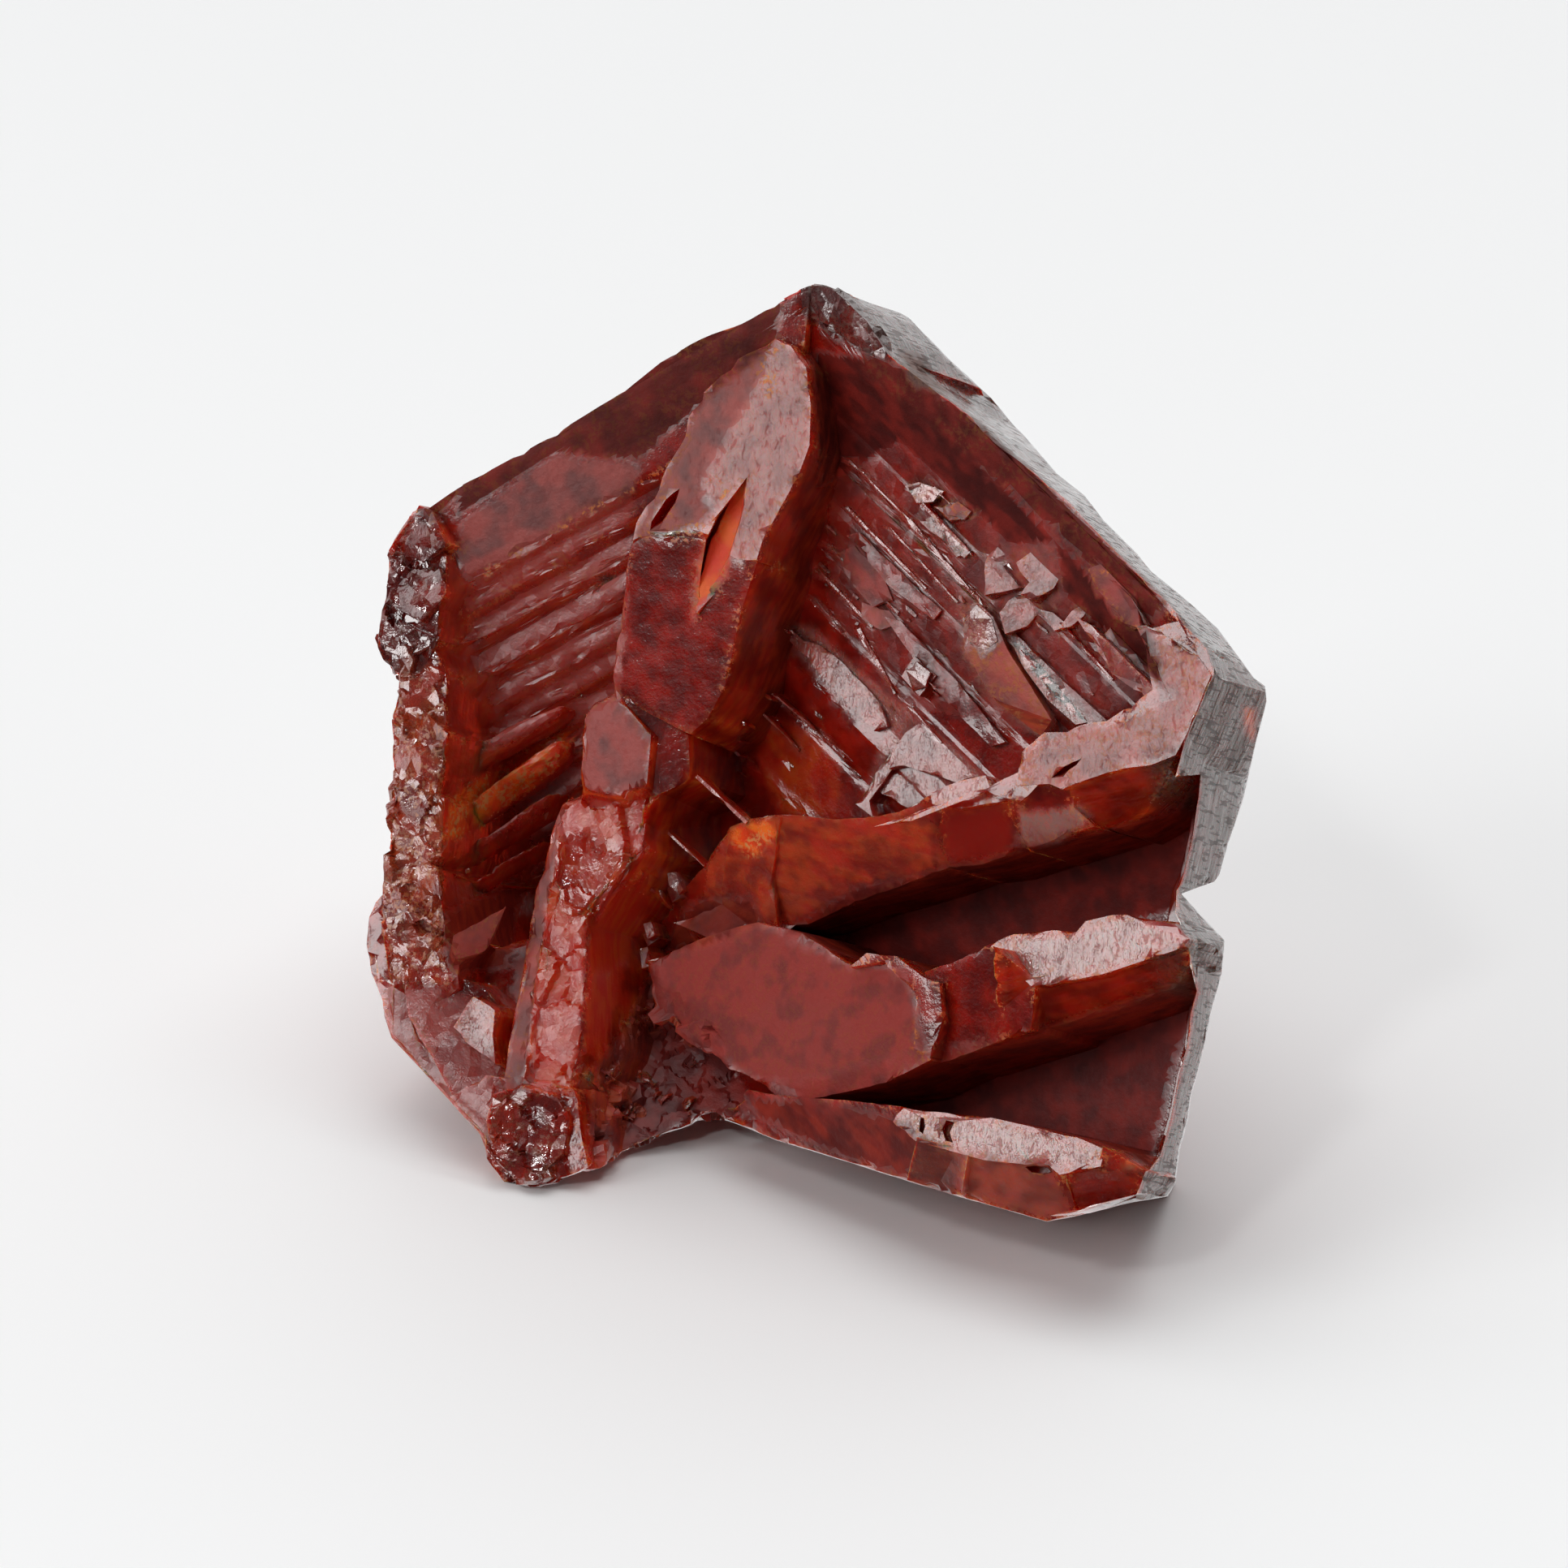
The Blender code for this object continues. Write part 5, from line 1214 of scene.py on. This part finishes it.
    def shape(self, mesh, surface, rim, looks):
        """Gentle waves on the faces, lumps on rough ground and worn outward edges."""
        still = np.maximum(looks["film"], surface.faces_match("open") * OPEN_CALM)
        calm = 1.0 - FILM_CALM * still
        move = np.zeros(surface.count)
        for height, size, start, octaves in WAVES:
            move += height * surface.wave(size, start, octaves) * calm
        lumpy = looks["lump"]
        for size, strength in LUMPS:
            move += lumpy * surface.lumps(size, lumpy) * strength
        worn = np.exp(-((rim / WEAR_WIDTH) ** 2))
        chips = smooth_step(*CHIPS_FROM, surface.wave(CHIP_SIZE, CHIP_START, CHIP_OCTAVES))
        move -= worn * (WEAR_DEPTH + CHIP_DEPTH * chips)
        world = surface.world + surface.world_normal * (move * MM)[:, None]
        low, high = [np.array(corner) for corner in CAD_BOX]
        resting = surface.world[:, 2] < RESTING_HEIGHT
        world[resting] = surface.world[resting]
        world = np.clip(world, low, high)
        mesh.vertices.foreach_set("co", world.ravel())
        mark_crisp_edges(mesh)

    def mark_lustre(self, mesh, surface, looks):
        """Gives each face the material with the lustre of its place."""
        corners = rows_of(mesh.polygons, "vertices", 3, np.int64)
        here = {name: values[corners].mean(axis=1) for name, values in looks.items()}
        deep = surface.point[:, 2][corners].mean(axis=1) < RECESS_LEVEL
        slots = np.zeros(len(corners), np.int32)
        slots[here["matte"] > ETCHED] = 1
        # Faces deep in painted shade take the shaded copy, nearly without reflection.
        slots[deep & (here["dark"] > RECESS_DARK)] = 2
        # Broken and shiny faces take the lit copy, which paints stronger glints.
        slots[(here["grit"] > BROKEN) | (here["shine"] > SHINY)] = 3
        mesh.polygons.foreach_set("material_index", slots)
        mesh.update()


class OBJECT_OT_crystal_stage(bpy.types.Operator):
    """Makes the pale floor, the soft lights and the camera"""

    bl_idname = "object.crystal_stage"
    bl_label = "Stage"

    def execute(self, context):
        settings = context.scene.stage_settings
        self.floor(context, settings)
        self.surround(context, settings)
        for name, direction, distance, size, glossy in LAMPS:
            lamp = self.softbox(context, name + "_light", direction, distance, size)
            lamp.data.energy = getattr(settings, name)
            lamp.visible_glossy = glossy
        self.camera(context, settings)
        return {"FINISHED"}

    def floor(self, context, settings):
        shape = bmesh.new()
        bmesh.ops.create_grid(shape, x_segments=2, y_segments=2, size=settings.floor_size / 2)
        mesh = bpy.data.meshes.new("floor")
        shape.to_mesh(mesh)
        shape.free()
        floor = new_object(context, "floor", mesh)
        floor.location.z = FLOOR_HEIGHT
        floor.visible_glossy = False
        material = bpy.data.materials.new("floor")
        material.use_nodes = True
        shader = material.node_tree.nodes["Principled BSDF"]
        shader.inputs["Base Color"].default_value = FLOOR_COLOUR
        shader.inputs["Roughness"].default_value = FLOOR_ROUGHNESS
        mesh.materials.append(material)

    def surround(self, context, settings):
        """Pale light from behind, less from the left, and a little from everywhere else."""
        world = bpy.data.worlds.new("surround")
        context.scene.world = world
        sheet = NodeSheet(world)
        background = sheet.tree.nodes["Background"]
        background.inputs["Color"].default_value = SURROUND_COLOUR
        direction = sheet.node("ShaderNodeTexCoord").outputs["Generated"]
        parts = sheet.node("ShaderNodeSeparateXYZ", {"Vector": direction})
        behind = sheet.between(parts.outputs["Y"], -0.1, 0.6, 0.0, settings.surround)
        left = sheet.between(parts.outputs["X"], -0.85, -0.15, settings.left_side, 0.0)
        level = sheet.between(parts.outputs["Z"], -0.25, 0.1)
        total = sheet.plus(sheet.plus(behind, sheet.times(left, level)), settings.room)
        sheet.join(total, background.inputs["Strength"])

    def softbox(self, context, name, direction, distance, size):
        """A soft square light that looks at the crystal from a direction."""
        light = bpy.data.lights.new(name, "AREA")
        light.shape = "SQUARE"
        light.size = size
        lamp = new_object(context, name, light)
        direction = direction.normalized()
        lamp.location = CENTRE + direction * distance
        lamp.rotation_mode = "QUATERNION"
        lamp.rotation_quaternion = direction.to_track_quat("Z", "Y")
        return lamp

    def camera(self, context, settings):
        data = bpy.data.cameras.new("camera")
        data.lens = settings.lens
        data.sensor_width = SENSOR_WIDTH
        data.clip_start, data.clip_end = CAMERA_REACH
        camera = new_object(context, "camera", data)
        turn = Matrix((RIGHT, UP, BACK)).transposed().to_4x4()
        camera.matrix_world = Matrix.Translation(EYE + CENTRE) @ turn
        context.scene.camera = camera
        context.scene.view_settings.view_transform = "Standard"


class VIEW3D_PT_vanadinite(bpy.types.Panel):
    """Lists the settings, and makes the crystal and its stage"""

    bl_idname = "VIEW3D_PT_vanadinite"
    bl_label = "Vanadinite crystal"
    bl_space_type = "VIEW_3D"
    bl_region_type = "UI"
    bl_category = "Crystal"

    def draw(self, context):
        layout = self.layout
        for group in (context.scene.crystal_settings, context.scene.stage_settings):
            for name in group.bl_rna.properties.keys():
                if name not in ("rna_type", "name"):
                    layout.prop(group, name)
        layout.operator(OBJECT_OT_vanadinite_crystal.bl_idname)
        layout.operator(OBJECT_OT_crystal_stage.bl_idname)


CLASSES = (
    CrystalSettings,
    StageSettings,
    OBJECT_OT_vanadinite_crystal,
    OBJECT_OT_crystal_stage,
    VIEW3D_PT_vanadinite,
)


def register():
    """Adds the classes, and the settings to the scene."""
    for item in CLASSES:
        bpy.utils.register_class(item)
    bpy.types.Scene.crystal_settings = PointerProperty(type=CrystalSettings)
    bpy.types.Scene.stage_settings = PointerProperty(type=StageSettings)


def unregister():
    """Takes away what register added."""
    del bpy.types.Scene.stage_settings
    del bpy.types.Scene.crystal_settings
    for item in reversed(CLASSES):
        bpy.utils.unregister_class(item)


def main():
    """Makes the stage and the crystal."""
    register()
    bpy.ops.object.crystal_stage()
    bpy.ops.object.vanadinite_crystal()


if __name__ == "__main__":
    main()
